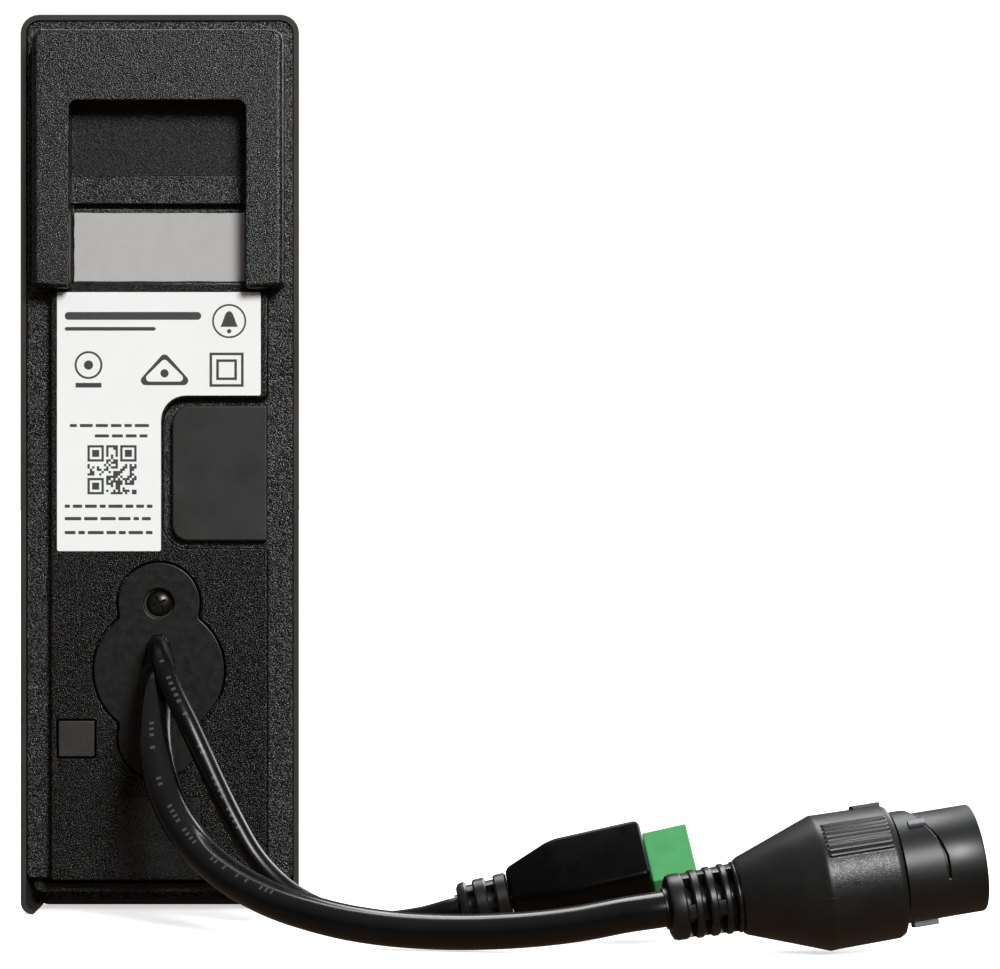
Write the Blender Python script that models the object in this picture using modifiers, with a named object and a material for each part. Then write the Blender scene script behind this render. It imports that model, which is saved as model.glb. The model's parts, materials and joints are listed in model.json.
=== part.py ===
"""A video doorbell that stands on its lower edge, with two pigtail cables on its back.

The housing is a stack along Y: a folded metal faceplate at the front (-Y), an inner frame, a
gasket, a tub that holds the boards, and a stepped back cover with a pocket for the wall bracket.
Two cables leave the back: one ends in a waterproof network coupler, the other in a pluggable
terminal block. Z is up, the back faces +Y, and the origin is under the middle of the housing.
Sizes and places are in millimetres; the helpers turn them into metres.
"""

import math

import bmesh
import bpy
from mathutils import Matrix, Vector

MM = 0.001
TURN = 2 * math.pi

# Driving dimensions of the housing.
WIDTH = 54.0
HEIGHT = 174.5
DEPTH = 26.0
SKIN = 1.0
GAP = 0.3
# How far the faceplate's sides and top lean in from the rim to the front.
TAPER = 1.05

Y_FRONT = -DEPTH / 2
Y_BACK = DEPTH / 2
Y_RIM = Y_FRONT + 20.0
TOP_CORNER = 3.6
FOOT_CORNER = 2.4

# The stack behind the faceplate.
FRAME_Y = (-11.7, -10.9)
GASKET_Y = (-10.6, -10.1)
TUB_Y = (-9.8, 3.3)
SEAL_Y = (3.55, 3.95)
TUB_WALL = 1.5
TUB_HALF = 24.7
TUB_Z = (4.1, 172.0)
BOARD_Y = (-2.4, -1.2)

# Levels of the back cover.
COVER_Y = 4.2
COVER_INNER_Y = 4.9
STRIP_Y = Y_RIM - 0.5
PANEL_Y = Y_RIM + 2.0
COVER_HALF = 25.4
COVER_Z = (7.2, 172.8)
PANEL_HALF = 21.1
PANEL_Z = (6.9, 122.5)
BLOCK_HALF = 24.2
BLOCK_Z = (121.2, 171.0)
POCKET_HALF = 17.0
POCKET_TOP = 157.4
PAD_Z = (122.65, 136.05)
LEDGE_Z = (137.8, 143.2)
NOTCH_X = -0.8
NOTCH_Z = (71.1, 100.1)
NOTCH_CORNER = 4.8

# The plate that closes the cable outlet, and the two cables' places in it.
PLATE_Z = 47.4
PLATE_R = 12.6
LOBE_R = 7.9
LOBE_OFFSET = 13.0
PLATE_FLOOR_Y = 6.4
THICK_Z = 46.6
THIN_Z = 52.2
THICK_D = 6.5
THIN_D = 4.0

# The front.
WINDOW_Z = 139.5
WINDOW_SIZE = (42.0, 52.0)
WINDOW_CORNER = 5.0
LENS_Z = 146.0
LED_X = 14.5
SENSOR_Z = 121.0
MIC_Z = 106.5
SPEAKER_Z = 90.0
SPEAKER_R = 11.5
SLOT_SIZE = (24.0, 1.3)
SLOT_PITCH = 2.9
SLOT_COUNT = 5
BUTTON_Z = 45.0
BUTTON_R = 11.6

# Small moving pieces on the back.
TAMPER_AT = (16.0, 34.2)
TAMPER_SIZE = 7.0
RESET_AT = (-11.4, 85.6)

# The network coupler: the middle of its cable end, its tilt up and its turn towards the front.
COUPLER_AT = (-95.7, 74.2, 8.3)
COUPLER_TILT = math.radians(8.7)
COUPLER_TURN = math.radians(6.0)

# The terminal block: the same, with the roll of its body about its own axis.
TERMINAL_AT = (-58.6, 45.0, 5.4)
TERMINAL_TILT = math.radians(12.6)
TERMINAL_ROLL = math.radians(50.0)
TERMINAL_SIZE = (12.8, 13.2)
PLUG_WIDTH = 11.1
PLUG_SIDES = (-5.7, 2.7)

# Routes of the two cables, from the back of the housing to the piece on the far end.
THICK_ROUTE = [
    (0.0, 9.2, 46.6),
    (0.0, 11.4, 46.6),
    (-0.3, 15.6, 45.6),
    (-0.6, 19.6, 42.6),
    (-0.7, 23.6, 37.9),
    (-1.2, 27.8, 32.6),
    (-2.9, 31.8, 26.2),
    (-6.1, 36.0, 20.2),
    (-11.0, 41.5, 14.8),
    (-17.2, 48.6, 10.8),
    (-24.4, 55.4, 7.9),
    (-31.6, 60.4, 6.0),
    (-39.6, 64.0, 4.5),
    (-49.0, 66.6, 3.6),
    (-60.0, 69.0, 3.5),
    (-70.5, 71.3, 4.2),
    (-79.5, 73.0, 5.4),
    (-88.0, 74.0, 7.1),
]
THIN_ROUTE = [
    (0.0, 9.2, 52.2),
    (0.0, 11.6, 52.2),
    (-0.6, 16.5, 51.3),
    (-2.0, 21.5, 48.3),
    (-4.6, 25.5, 43.1),
    (-7.1, 27.6, 38.3),
    (-9.8, 28.8, 32.6),
    (-12.6, 29.6, 26.6),
    (-15.8, 30.2, 20.2),
    (-19.6, 31.1, 13.8),
    (-24.4, 32.4, 8.7),
    (-30.0, 34.2, 5.1),
    (-36.6, 36.8, 2.9),
    (-44.0, 40.2, 2.2),
    (-51.0, 43.6, 3.3),
]


# Helpers ---------------------------------------------------------------------------------------


def clear_scene():
    for obj in list(bpy.data.objects):
        bpy.data.objects.remove(obj)


def collection(name, hidden=False):
    made = bpy.data.collections.new(name)
    made.hide_render = hidden
    bpy.context.scene.collection.children.link(made)
    return made


def material(name, colour, roughness, metallic=0.0, alpha=1.0):
    """A Principled material, made once for each name."""
    found = bpy.data.materials.get(name)
    if found:
        return found
    made = bpy.data.materials.new(name)
    made.use_nodes = True
    shader = made.node_tree.nodes["Principled BSDF"]
    shader.inputs["Base Color"].default_value = (*colour, 1.0)
    shader.inputs["Roughness"].default_value = roughness
    shader.inputs["Metallic"].default_value = metallic
    shader.inputs["Alpha"].default_value = alpha
    return made


def corner_arc(corner, before, after, radius, segments):
    """Points of an arc that rounds the corner between its two neighbours."""
    corner, before, after = Vector(corner), Vector(before), Vector(after)
    to_before = (before - corner).normalized()
    to_after = (after - corner).normalized()
    half_angle = to_before.angle(to_after) / 2
    centre = corner + (to_before + to_after).normalized() * (radius / math.sin(half_angle))
    start = corner + to_before * (radius / math.tan(half_angle)) - centre
    sweep = start.angle_signed(corner + to_after * (radius / math.tan(half_angle)) - centre)
    return [
        tuple(centre + Matrix.Rotation(-sweep * step / segments, 2) @ start)
        for step in range(segments + 1)
    ]


def outline(corners, segments=4):
    """A closed outline from (x, z, radius) corners; a radius of 0 keeps the corner sharp."""
    points = []
    for index, (x, z, radius) in enumerate(corners):
        if radius <= 0:
            points.append((x, z))
            continue
        before = corners[index - 1][:2]
        after = corners[(index + 1) % len(corners)][:2]
        points += corner_arc((x, z), before, after, radius, segments)
    return points


def rectangle(half, low, high, low_radius=0.0, high_radius=None, segments=4, middle=0.0):
    """A rectangle from middle - half to middle + half and from low to high."""
    high_radius = low_radius if high_radius is None else high_radius
    return outline(
        [
            (middle - half, low, low_radius),
            (middle + half, low, low_radius),
            (middle + half, high, high_radius),
            (middle - half, high, high_radius),
        ],
        segments,
    )


def circle(x, z, radius, steps=32):
    return [
        (x + radius * math.cos(TURN * step / steps), z + radius * math.sin(TURN * step / steps))
        for step in range(steps)
    ]


def link(obj, where, finish=None, parent=None):
    where.objects.link(obj)
    if finish:
        obj.data.materials.clear()
        obj.data.materials.append(finish)
    if parent:
        obj.parent = parent
    return obj


def as_mesh(obj, where, finish=None, parent=None):
    """Turns a curve into a welded mesh object with flat caps, in the same place."""
    bpy.context.scene.collection.objects.link(obj)
    bpy.context.view_layer.update()
    graph = bpy.context.evaluated_depsgraph_get()
    mesh = bpy.data.meshes.new_from_object(obj.evaluated_get(graph))
    name, place = obj.name, obj.matrix_world.copy()
    bpy.data.objects.remove(obj)
    shape = bmesh.new()
    shape.from_mesh(mesh)
    bmesh.ops.remove_doubles(shape, verts=shape.verts, dist=1e-7)
    bmesh.ops.dissolve_limit(
        shape, angle_limit=math.radians(0.5), verts=shape.verts, edges=shape.edges
    )
    bmesh.ops.recalc_face_normals(shape, faces=shape.faces)
    shape.to_mesh(mesh)
    shape.free()
    made = bpy.data.objects.new(name, mesh)
    made.matrix_world = place
    return link(made, where, finish, parent)


def prism(name, outlines, low_y, high_y, where, finish=None):
    """A flat solid: outlines in X and Z, the later ones being holes, between two Y levels."""
    curve = bpy.data.curves.new(name, "CURVE")
    curve.dimensions = "2D"
    curve.fill_mode = "BOTH"
    curve.extrude = (high_y - low_y) / 2 * MM
    for points in outlines:
        spline = curve.splines.new("POLY")
        spline.points.add(len(points) - 1)
        spline.use_cyclic_u = True
        for point, (x, z) in zip(spline.points, points):
            point.co = (x * MM, z * MM, 0, 1)
    obj = bpy.data.objects.new(name, curve)
    obj.rotation_euler = (math.pi / 2, 0, 0)
    obj.location = (0, (low_y + high_y) / 2 * MM, 0)
    return as_mesh(obj, where, finish)


def box(name, low, high, where, finish=None, parent=None, bevel=0.0):
    """A box between two corners, with its origin in its middle."""
    mesh = bpy.data.meshes.new(name)
    shape = bmesh.new()
    bmesh.ops.create_cube(shape, size=1)
    size = [(top - bottom) * MM for bottom, top in zip(low, high)]
    bmesh.ops.scale(shape, vec=size, verts=shape.verts)
    if bevel:
        bmesh.ops.bevel(
            shape,
            geom=shape.edges[:],
            offset=bevel * MM,
            segments=2,
            profile=0.5,
            affect="EDGES",
        )
    shape.to_mesh(mesh)
    shape.free()
    obj = bpy.data.objects.new(name, mesh)
    obj.location = [(top + bottom) / 2 * MM for bottom, top in zip(low, high)]
    return link(obj, where, finish, parent)


def turned(name, profile, at, facing, where, finish=None, parent=None, steps=32, ring=False):
    """A turned solid from (radius, height) points that run down its outer side.

    Heights run along the way it faces: "front" is -Y, "back" is +Y, and None keeps local Z.
    A ring's profile closes on itself; any other profile starts and ends on the axis.
    """
    mesh = bpy.data.meshes.new(name)
    count = len(profile)
    edges = [(index, index + 1) for index in range(count - 1)]
    if ring:
        edges.append((count - 1, 0))
    mesh.from_pydata([(radius * MM, 0, height * MM) for radius, height in profile], edges, [])
    obj = bpy.data.objects.new(name, mesh)
    obj.location = [value * MM for value in at]
    if facing:
        obj.rotation_euler = (math.pi / 2 if facing == "front" else -math.pi / 2, 0, 0)
    screw = obj.modifiers.new("turn", "SCREW")
    screw.angle = TURN
    screw.steps = steps
    screw.render_steps = steps
    screw.use_merge_vertices = True
    screw.merge_threshold = 1e-6
    link(obj, where, None, parent)
    bpy.context.view_layer.update()
    graph = bpy.context.evaluated_depsgraph_get()
    solid = bpy.data.meshes.new_from_object(obj.evaluated_get(graph))
    obj.modifiers.clear()
    obj.data = solid
    shape = bmesh.new()
    shape.from_mesh(solid)
    bmesh.ops.remove_doubles(shape, verts=shape.verts, dist=1e-7)
    bmesh.ops.recalc_face_normals(shape, faces=shape.faces)
    shape.to_mesh(solid)
    shape.free()
    if finish:
        solid.materials.append(finish)
    return obj


def boolean(obj, other, operation="DIFFERENCE"):
    modifier = obj.modifiers.new(other.name, "BOOLEAN")
    modifier.operation = operation
    modifier.object = other
    other.display_type = "WIRE"
    other.hide_render = True
    return obj


def smooth(obj, angle=35):
    obj.data.shade_smooth()
    obj.data.set_sharp_from_angle(angle=math.radians(angle))
    return obj


def bevel_at(obj, level_y, offset, segments=2):
    """Rounds the outline edges of a flat solid that lie at one Y level."""
    local = obj.matrix_world.inverted() @ Vector((0, level_y * MM, 0))
    shape = bmesh.new()
    shape.from_mesh(obj.data)
    edges = [
        edge
        for edge in shape.edges
        if all(abs(vert.co.z - local.z) < 1e-6 for vert in edge.verts)
        and edge.calc_face_angle(0) > math.radians(60)
    ]
    bmesh.ops.bevel(
        shape, geom=edges, offset=offset * MM, segments=segments, profile=0.5, affect="EDGES"
    )
    shape.to_mesh(obj.data)
    shape.free()
    return obj


def lean_in(obj, level_y, amount):
    """Draws the sides and the top in at one Y level, and keeps the foot where it is."""
    local = obj.matrix_world.inverted() @ Vector((0, level_y * MM, 0))
    for vert in obj.data.vertices:
        if abs(vert.co.z - local.z) < 1e-6:
            vert.co.x *= 1 - amount / (WIDTH / 2)
            vert.co.y *= 1 - amount / HEIGHT
    return obj


def direction(tilt, turn):
    """The way a cable end points: away from the housing (-X), turned to the front, and up."""
    return Vector(
        (
            -math.cos(tilt) * math.cos(turn),
            -math.cos(tilt) * math.sin(turn),
            math.sin(tilt),
        )
    )


def axis_empty(name, at, tilt, turn, roll, where):
    """An empty whose local Z runs along a cable end."""
    along = direction(tilt, turn)
    side = Vector((0, 0, 1)).cross(along).normalized()
    up = along.cross(side)
    place = Matrix((side, up, along)).transposed() @ Matrix.Rotation(roll, 3, "Z")
    empty = bpy.data.objects.new(name, None)
    empty.matrix_world = Matrix.Translation(Vector(at) * MM) @ place.to_4x4()
    where.objects.link(empty)
    return empty


def smooth_route(points, spacing):
    """Points every spacing millimetres along a Catmull-Rom curve through a route's points."""
    route = [Vector(point) for point in points]
    route = [2 * route[0] - route[1], *route, 2 * route[-1] - route[-2]]
    fine = []
    for index in range(1, len(route) - 2):
        a, b, c, d = route[index - 1 : index + 3]
        for step in range(16):
            t = step / 16
            fine.append(
                0.5
                * (
                    2 * b
                    + (c - a) * t
                    + (2 * a - 5 * b + 4 * c - d) * t**2
                    + (3 * b - a - 3 * c + d) * t**3
                )
            )
    fine.append(route[-2])
    lengths = [0.0]
    for before, after in zip(fine, fine[1:]):
        lengths.append(lengths[-1] + (after - before).length)
    count = round(lengths[-1] / spacing)
    result = []
    index = 0
    for step in range(count + 1):
        wanted = lengths[-1] * step / count
        while index < len(fine) - 2 and lengths[index + 1] < wanted:
            index += 1
        share = (wanted - lengths[index]) / (lengths[index + 1] - lengths[index])
        result.append(fine[index].lerp(fine[index + 1], min(share, 1.0)))
    return result


def tube(name, route, diameter, end, along, where, finish):
    """A cable: a round tube along a smooth route, straight for a stub at both ends."""
    curve = bpy.data.curves.new(name, "CURVE")
    curve.dimensions = "3D"
    curve.bevel_depth = diameter / 2 * MM
    curve.bevel_resolution = 2
    curve.use_fill_caps = True
    points = smooth_route([*route, Vector(end) - 1.8 * along], 1.1 * diameter)
    points.insert(1, points[0] + Vector((0, 1, 0)))
    points.append(Vector(end) - 0.4 * along)
    spline = curve.splines.new("POLY")
    spline.points.add(len(points) - 1)
    for point, place in zip(spline.points, points):
        point.co = (*(place * MM), 1)
    curve.materials.append(finish)
    obj = bpy.data.objects.new(name, curve)
    where.objects.link(obj)
    return obj


# Materials -------------------------------------------------------------------------------------

SATIN_METAL = material("satin_metal", (0.055, 0.052, 0.05), 0.35, 0.8)
BLACK_SHELL = material("textured_black_plastic", (0.012, 0.012, 0.013), 0.55)
SMOOTH_BLACK = material("smooth_black_plastic", (0.03, 0.03, 0.03), 0.45)
GLOSS_BLACK = material("gloss_black", (0.006, 0.006, 0.007), 0.08)
LENS_GLASS = material("lens_glass", (0.02, 0.02, 0.035), 0.03)
LABEL_WHITE = material("label_white", (0.82, 0.82, 0.83), 0.5)
PAD_GREY = material("thermal_pad_grey", (0.45, 0.44, 0.43), 0.8)
CABLE_BLACK = material("cable_black", (0.008, 0.008, 0.009), 0.22)
RUBBER_BLACK = material("black_rubber", (0.015, 0.015, 0.015), 0.7)
TERMINAL_GREEN = material("terminal_green", (0.02, 0.42, 0.07), 0.45)
BOARD_GREEN = material("board_green", (0.01, 0.11, 0.05), 0.5)
CHIP_BLACK = material("chip_black", (0.02, 0.02, 0.022), 0.5)
STEEL = material("steel", (0.55, 0.54, 0.52), 0.3, 1.0)
BLACK_STEEL = material("black_steel", (0.05, 0.05, 0.05), 0.35, 0.9)
ALUMINIUM = material("aluminium", (0.75, 0.75, 0.76), 0.4, 1.0)
GOLD = material("gold_plate", (0.85, 0.6, 0.22), 0.25, 1.0)
DIFFUSER = material("light_diffuser", (0.75, 0.76, 0.78), 0.4)
PLUNGER_BROWN = material("plunger_brown", (0.055, 0.047, 0.04), 0.6)
CONE_PAPER = material("cone_paper", (0.06, 0.06, 0.06), 0.9)


# Front -----------------------------------------------------------------------------------------


def speaker_slots(name, extra, low_y, high_y, where):
    """The row of sound slots, as one cutter."""
    half = SLOT_SIZE[0] / 2 + extra
    tall = SLOT_SIZE[1] / 2 + extra
    slots = []
    for index in range(SLOT_COUNT):
        z = SPEAKER_Z + (index - (SLOT_COUNT - 1) / 2) * SLOT_PITCH
        slots.append(rectangle(half, z - tall, z + tall, tall * 0.98, segments=3))
    return prism(name, slots, low_y, high_y, where)


def window_outline(grow=0.0):
    half = WINDOW_SIZE[0] / 2 + grow
    tall = WINDOW_SIZE[1] / 2 + grow
    return rectangle(half, WINDOW_Z - tall, WINDOW_Z + tall, WINDOW_CORNER + grow, segments=6)


def make_faceplate(parts, cutters):
    """The folded metal front: a flat face with a deep flange that wraps its foot corners."""
    half = WIDTH / 2
    outer = rectangle(half, 0, HEIGHT, FOOT_CORNER, TOP_CORNER, segments=6)
    plate = prism("faceplate", [outer], Y_FRONT, Y_RIM, parts, SATIN_METAL)
    lean_in(plate, Y_FRONT, TAPER)
    bevel_at(plate, Y_FRONT, 0.7, 3)
    inner = rectangle(
        half - SKIN, SKIN, HEIGHT - SKIN, FOOT_CORNER - SKIN, TOP_CORNER - SKIN, segments=6
    )
    rear = Y_RIM + 1
    hollow = prism("cut_flange", [inner], Y_FRONT + SKIN, rear, cutters)
    boolean(plate, lean_in(hollow, Y_FRONT + SKIN, TAPER))
    foot = half - FOOT_CORNER
    boolean(plate, box("cut_foot", (-foot, Y_FRONT + SKIN, -2), (foot, rear, 2), cutters))
    holes = [window_outline(GAP), circle(0, BUTTON_Z, 15.1, 36), circle(0, MIC_Z, 0.8, 8)]
    boolean(plate, prism("cut_front", holes, Y_FRONT - 1, Y_FRONT + 2, cutters))
    slots = speaker_slots("cut_slots", 0, Y_FRONT - 1, Y_FRONT + 2, cutters)
    return boolean(plate, slots)


def make_front_frame(parts):
    """The plastic frame bonded behind the faceplate, and the gasket behind it."""
    outer = rectangle(24.6, 1.4, 172.1, 1.0, 2.4)
    holes = [
        circle(0, LENS_Z, 9.6, 24),
        circle(-LED_X, LENS_Z, 2.8, 12),
        circle(LED_X, LENS_Z, 2.8, 12),
        circle(0, SENSOR_Z, 1.6, 8),
        circle(0, MIC_Z, 1.2, 8),
        circle(0, BUTTON_Z, 15.1, 36),
        rectangle(13.0, SPEAKER_Z - 7.6, SPEAKER_Z + 7.6, 1.0),
    ]
    prism("front_frame", [outer, *holes], *FRAME_Y, parts, BLACK_SHELL)
    seal = rectangle(24.4, 4.2, 171.8, 1.0, 2.2)
    inside = rectangle(22.8, 5.8, 170.2, 0.8, 1.6)
    prism("front_gasket", [seal, inside], *GASKET_Y, parts, RUBBER_BLACK)


def make_camera(parts):
    """The glossy window, the lens behind its opening, and the pieces that carry it."""
    holes = [
        circle(0, LENS_Z, 9.0, 32),
        circle(-LED_X, LENS_Z, 2.7, 16),
        circle(LED_X, LENS_Z, 2.7, 16),
        circle(0, SENSOR_Z, 1.5, 12),
    ]
    prism(
        "camera_window", [window_outline(), *holes], Y_FRONT, FRAME_Y[0] - 0.2, parts, GLOSS_BLACK
    )
    at = (0, 0, LENS_Z)
    barrel = [
        (7.6, 12.7),
        (8.6, 12.4),
        (8.6, 9.3),
        (6.6, 9.3),
        (6.6, 4.8),
        (4.4, 4.8),
        (4.4, 9.0),
        (5.6, 10.2),
        (5.6, 11.4),
    ]
    smooth(
        turned("lens_barrel", barrel, at, "front", parts, SMOOTH_BLACK, steps=28, ring=True)
    )
    dome = [(5.2 * math.sin(a), 10.9 + 1.2 * math.cos(a)) for a in arc_steps(90, 4)]
    glass = [*dome, (5.2, 10.5), (0, 10.5)]
    smooth(turned("lens_glass", glass, at, "front", parts, LENS_GLASS, steps=24))
    holder = [rectangle(9.8, LENS_Z - 9.8, LENS_Z + 9.8, 1.5), circle(0, LENS_Z, 7.0, 20)]
    prism("camera_holder", holder, -8.0, -4.6, parts, SMOOTH_BLACK)
    board = rectangle(11.0, LENS_Z - 11.0, LENS_Z + 11.0, 0.8)
    prism("sensor_board", [board], -4.3, -3.5, parts, BOARD_GREEN)
    led = [(2.3 * math.sin(a), 10.6 + 2.0 * math.cos(a)) for a in arc_steps(90, 4)]
    led += [(2.3, 6.4), (0, 6.4)]
    for index, x in enumerate((-LED_X, LED_X), 1):
        place = (x, 0, LENS_Z)
        name = f"infrared_led_{index}"
        smooth(turned(name, led, place, "front", parts, LENS_GLASS, steps=16))
    sensor = [(1.2 * math.sin(a), 11.7 + 0.8 * math.cos(a)) for a in arc_steps(90, 3)]
    sensor += [(1.2, 8.0), (0, 8.0)]
    smooth(turned("light_sensor", sensor, (0, 0, SENSOR_Z), "front", parts, DIFFUSER, steps=12))


def arc_steps(degrees, count):
    """Angles in radians from 0 up to the given one, in equal steps."""
    return [math.radians(degrees) * step / count for step in range(count + 1)]


def make_call_button(parts):
    """The push button, its lit ring, the diaphragm behind it and the switch it presses."""
    at = (0, 0, BUTTON_Z)
    cap = [
        (0, 12.5),
        (6.0, 12.55),
        (10.2, 12.75),
        (11.1, 12.7),
        (BUTTON_R, 12.3),
        (BUTTON_R, 10.5),
        (12.9, 10.5),
        (12.9, 9.9),
        (2.0, 9.9),
        (2.0, 6.3),
        (0, 6.3),
    ]
    smooth(turned("call_button", cap, at, "front", parts, SATIN_METAL, steps=32))
    light = [(14.4, 12.9), (14.7, 12.6), (14.7, 10.9), (12.0, 10.9), (12.0, 12.6), (12.3, 12.9)]
    ring = turned("button_light_ring", light, at, "front", parts, DIFFUSER, steps=36, ring=True)
    smooth(ring)
    seal = [(15.0, 8.0), (15.0, 7.4), (2.4, 7.4), (2.4, 8.0)]
    turned("button_diaphragm", seal, at, "front", parts, RUBBER_BLACK, steps=20, ring=True)
    plunger = [(0, 6.0), (1.5, 6.0), (1.5, 4.9), (0, 4.9)]
    turned("call_switch_plunger", plunger, at, "front", parts, STEEL, steps=16)
    body = [(0, 4.0), (1.9, 4.0), (1.9, 5.6), (3.4, 5.6), (3.4, 2.7), (0, 2.7)]
    turned("call_switch", body, at, "front", parts, CHIP_BLACK, steps=16)


def make_sound(parts):
    """The microphone and its rubber boot, and the speaker behind its mesh."""
    at = (0, 0, MIC_Z)
    boot = [(2.3, 9.9), (2.3, 5.2), (0.8, 5.2), (0.8, 9.9)]
    turned("microphone_boot", boot, at, "front", parts, RUBBER_BLACK, steps=16, ring=True)
    capsule = [(0, 4.9), (2.2, 4.9), (2.2, 2.7), (0, 2.7)]
    turned("microphone", capsule, at, "front", parts, STEEL, steps=16)
    mesh = rectangle(12.6, SPEAKER_Z - 7.2, SPEAKER_Z + 7.2, 0.8)
    prism("speaker_mesh", [mesh], -11.5, -11.1, parts, BLACK_STEEL)
    at = (0, 0, SPEAKER_Z)
    basket = [
        (SPEAKER_R, 8.0),
        (SPEAKER_R, 4.6),
        (7.2, 4.6),
        (7.2, 5.1),
        (10.3, 5.5),
        (10.3, 8.0),
    ]
    turned("speaker_basket", basket, at, "front", parts, CHIP_BLACK, steps=20, ring=True)
    cone = [(0, 7.0), (3.0, 6.5), (9.9, 7.7), (9.9, 7.3), (3.0, 6.1), (0, 6.6)]
    smooth(turned("speaker_cone", cone, at, "front", parts, CONE_PAPER, steps=20))
    magnet = [(0, 5.2), (6.8, 5.2), (6.8, 2.8), (0, 2.8)]
    turned("speaker_magnet", magnet, at, "front", parts, STEEL, steps=16)


# Inside ----------------------------------------------------------------------------------------

CASE_SCREWS = [(-20.4, 10.6), (20.4, 10.6), (-20.4, 167.0), (20.4, 167.0)]
BOARD_SCREWS = [(-18.6, 90.0), (18.6, 157.0), (-18.6, 72.0), (18.6, 21.0)]


def make_tub(parts, cutters):
    """The tub behind the gasket: it holds the boards, and its front wall has the openings."""
    outer = rectangle(TUB_HALF, *TUB_Z, 1.4, 2.4)
    tub = prism("main_housing", [outer], *TUB_Y, parts, BLACK_SHELL)
    wall = TUB_Y[0] + TUB_WALL
    inner = rectangle(TUB_HALF - 1.6, TUB_Z[0] + 1.6, TUB_Z[1] - 1.6, 0.8, 1.2)
    boolean(tub, prism("cut_tub", [inner], wall, TUB_Y[1] + 1, cutters))
    posts = [circle(x, z, 2.9, 12) for x, z in CASE_SCREWS]
    boolean(tub, prism("tub_posts", posts, wall - 0.4, TUB_Y[1], cutters), "UNION")
    studs = [circle(x, z, 2.3, 10) for x, z in BOARD_SCREWS]
    stud_end = BOARD_Y[0] - GAP
    boolean(tub, prism("board_studs", studs, wall - 0.4, stud_end, cutters), "UNION")
    holes = [
        circle(0, LENS_Z, 9.2, 24),
        circle(-LED_X, LENS_Z, 2.8, 12),
        circle(LED_X, LENS_Z, 2.8, 12),
        circle(0, SENSOR_Z, 1.6, 8),
        circle(0, MIC_Z, 2.6, 12),
        circle(0, BUTTON_Z, 13.8, 28),
        circle(0, SPEAKER_Z, 10.4, 24),
        *[circle(x, z, 1.4, 8) for x, z in CASE_SCREWS],
    ]
    boolean(tub, prism("cut_tub_front", holes, TUB_Y[0] - 1, wall + 0.5, cutters))
    heads = [circle(x, z, 2.3, 10) for x, z in CASE_SCREWS]
    boolean(tub, prism("cut_heads", heads, TUB_Y[0] - 1, TUB_Y[0] + 1.2, cutters))
    shanks = [circle(x, z, 1.4, 8) for x, z in CASE_SCREWS]
    boolean(tub, prism("cut_shanks", shanks, TUB_Y[0] + 1, TUB_Y[1] + 1, cutters))
    pilots = [circle(x, z, 1.25, 8) for x, z in BOARD_SCREWS]
    boolean(tub, prism("cut_pilots", pilots, BOARD_Y[0] - 3.6, BOARD_Y[1], cutters))


def make_boards(parts, cutters):
    """The two circuit boards with their chips, transformer and link, and the heat spreader."""
    limits = {"main_board": (84.4, 162.0), "power_board": (16.0, 77.6)}
    holes = prism(
        "cut_boards", [circle(x, z, 1.3, 8) for x, z in BOARD_SCREWS], -4, 0, cutters
    )
    for name, (low, high) in limits.items():
        board = prism(name, [rectangle(21.8, low, high, 0.8)], *BOARD_Y, parts, BOARD_GREEN)
        boolean(board, holes)
    back = BOARD_Y[1] + GAP
    front = BOARD_Y[0] - GAP
    box("processor", (-7, back, 128), (7, 0.5, 142), parts, CHIP_BLACK, bevel=0.2)
    box("heat_spreader", (-16, 0.8, 122), (16, 4.5, 150), parts, ALUMINIUM, bevel=0.4)
    box("board_link", (-8, back, 75), (8, 1.8, 87), parts, CHIP_BLACK, bevel=0.3)
    box("poe_transformer", (6, -7.6, 61), (20, front, 75), parts, CHIP_BLACK, bevel=0.5)


def screw(name, x, z, head_y, head_r, head_h, shank_r, shank_len, facing, parts, finish):
    """A screw with a crossed or plain head; its head stands out of the way it faces."""
    out = head_y if facing == "back" else -head_y
    profile = [
        (0, out + head_h * 0.45),
        (head_r * 0.36, out + head_h * 0.45),
        (head_r * 0.42, out + head_h),
        (head_r * 0.8, out + head_h),
        (head_r, out + head_h * 0.55),
        (head_r, out),
        (shank_r, out),
        (shank_r, out - shank_len),
        (0, out - shank_len),
    ]
    return smooth(turned(name, profile, (x, 0, z), facing, parts, finish, steps=10))


def make_screws(parts):
    for index, (x, z) in enumerate(CASE_SCREWS, 1):
        name = f"case_screw_{index}"
        screw(name, x, z, -8.9, 1.9, 0.9, 0.95, 14.4, "front", parts, STEEL)
    for index, (x, z) in enumerate(BOARD_SCREWS, 1):
        name = f"board_screw_{index}"
        screw(name, x, z, BOARD_Y[1] + GAP, 1.7, 0.9, 0.85, 4.4, "back", parts, STEEL)
    lobe = PLATE_Z + LOBE_OFFSET
    screw("cover_screw", 0, lobe, 7.9, 2.6, 0.8, 1.15, 2.6, "back", parts, BLACK_STEEL)


# Back ------------------------------------------------------------------------------------------


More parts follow.
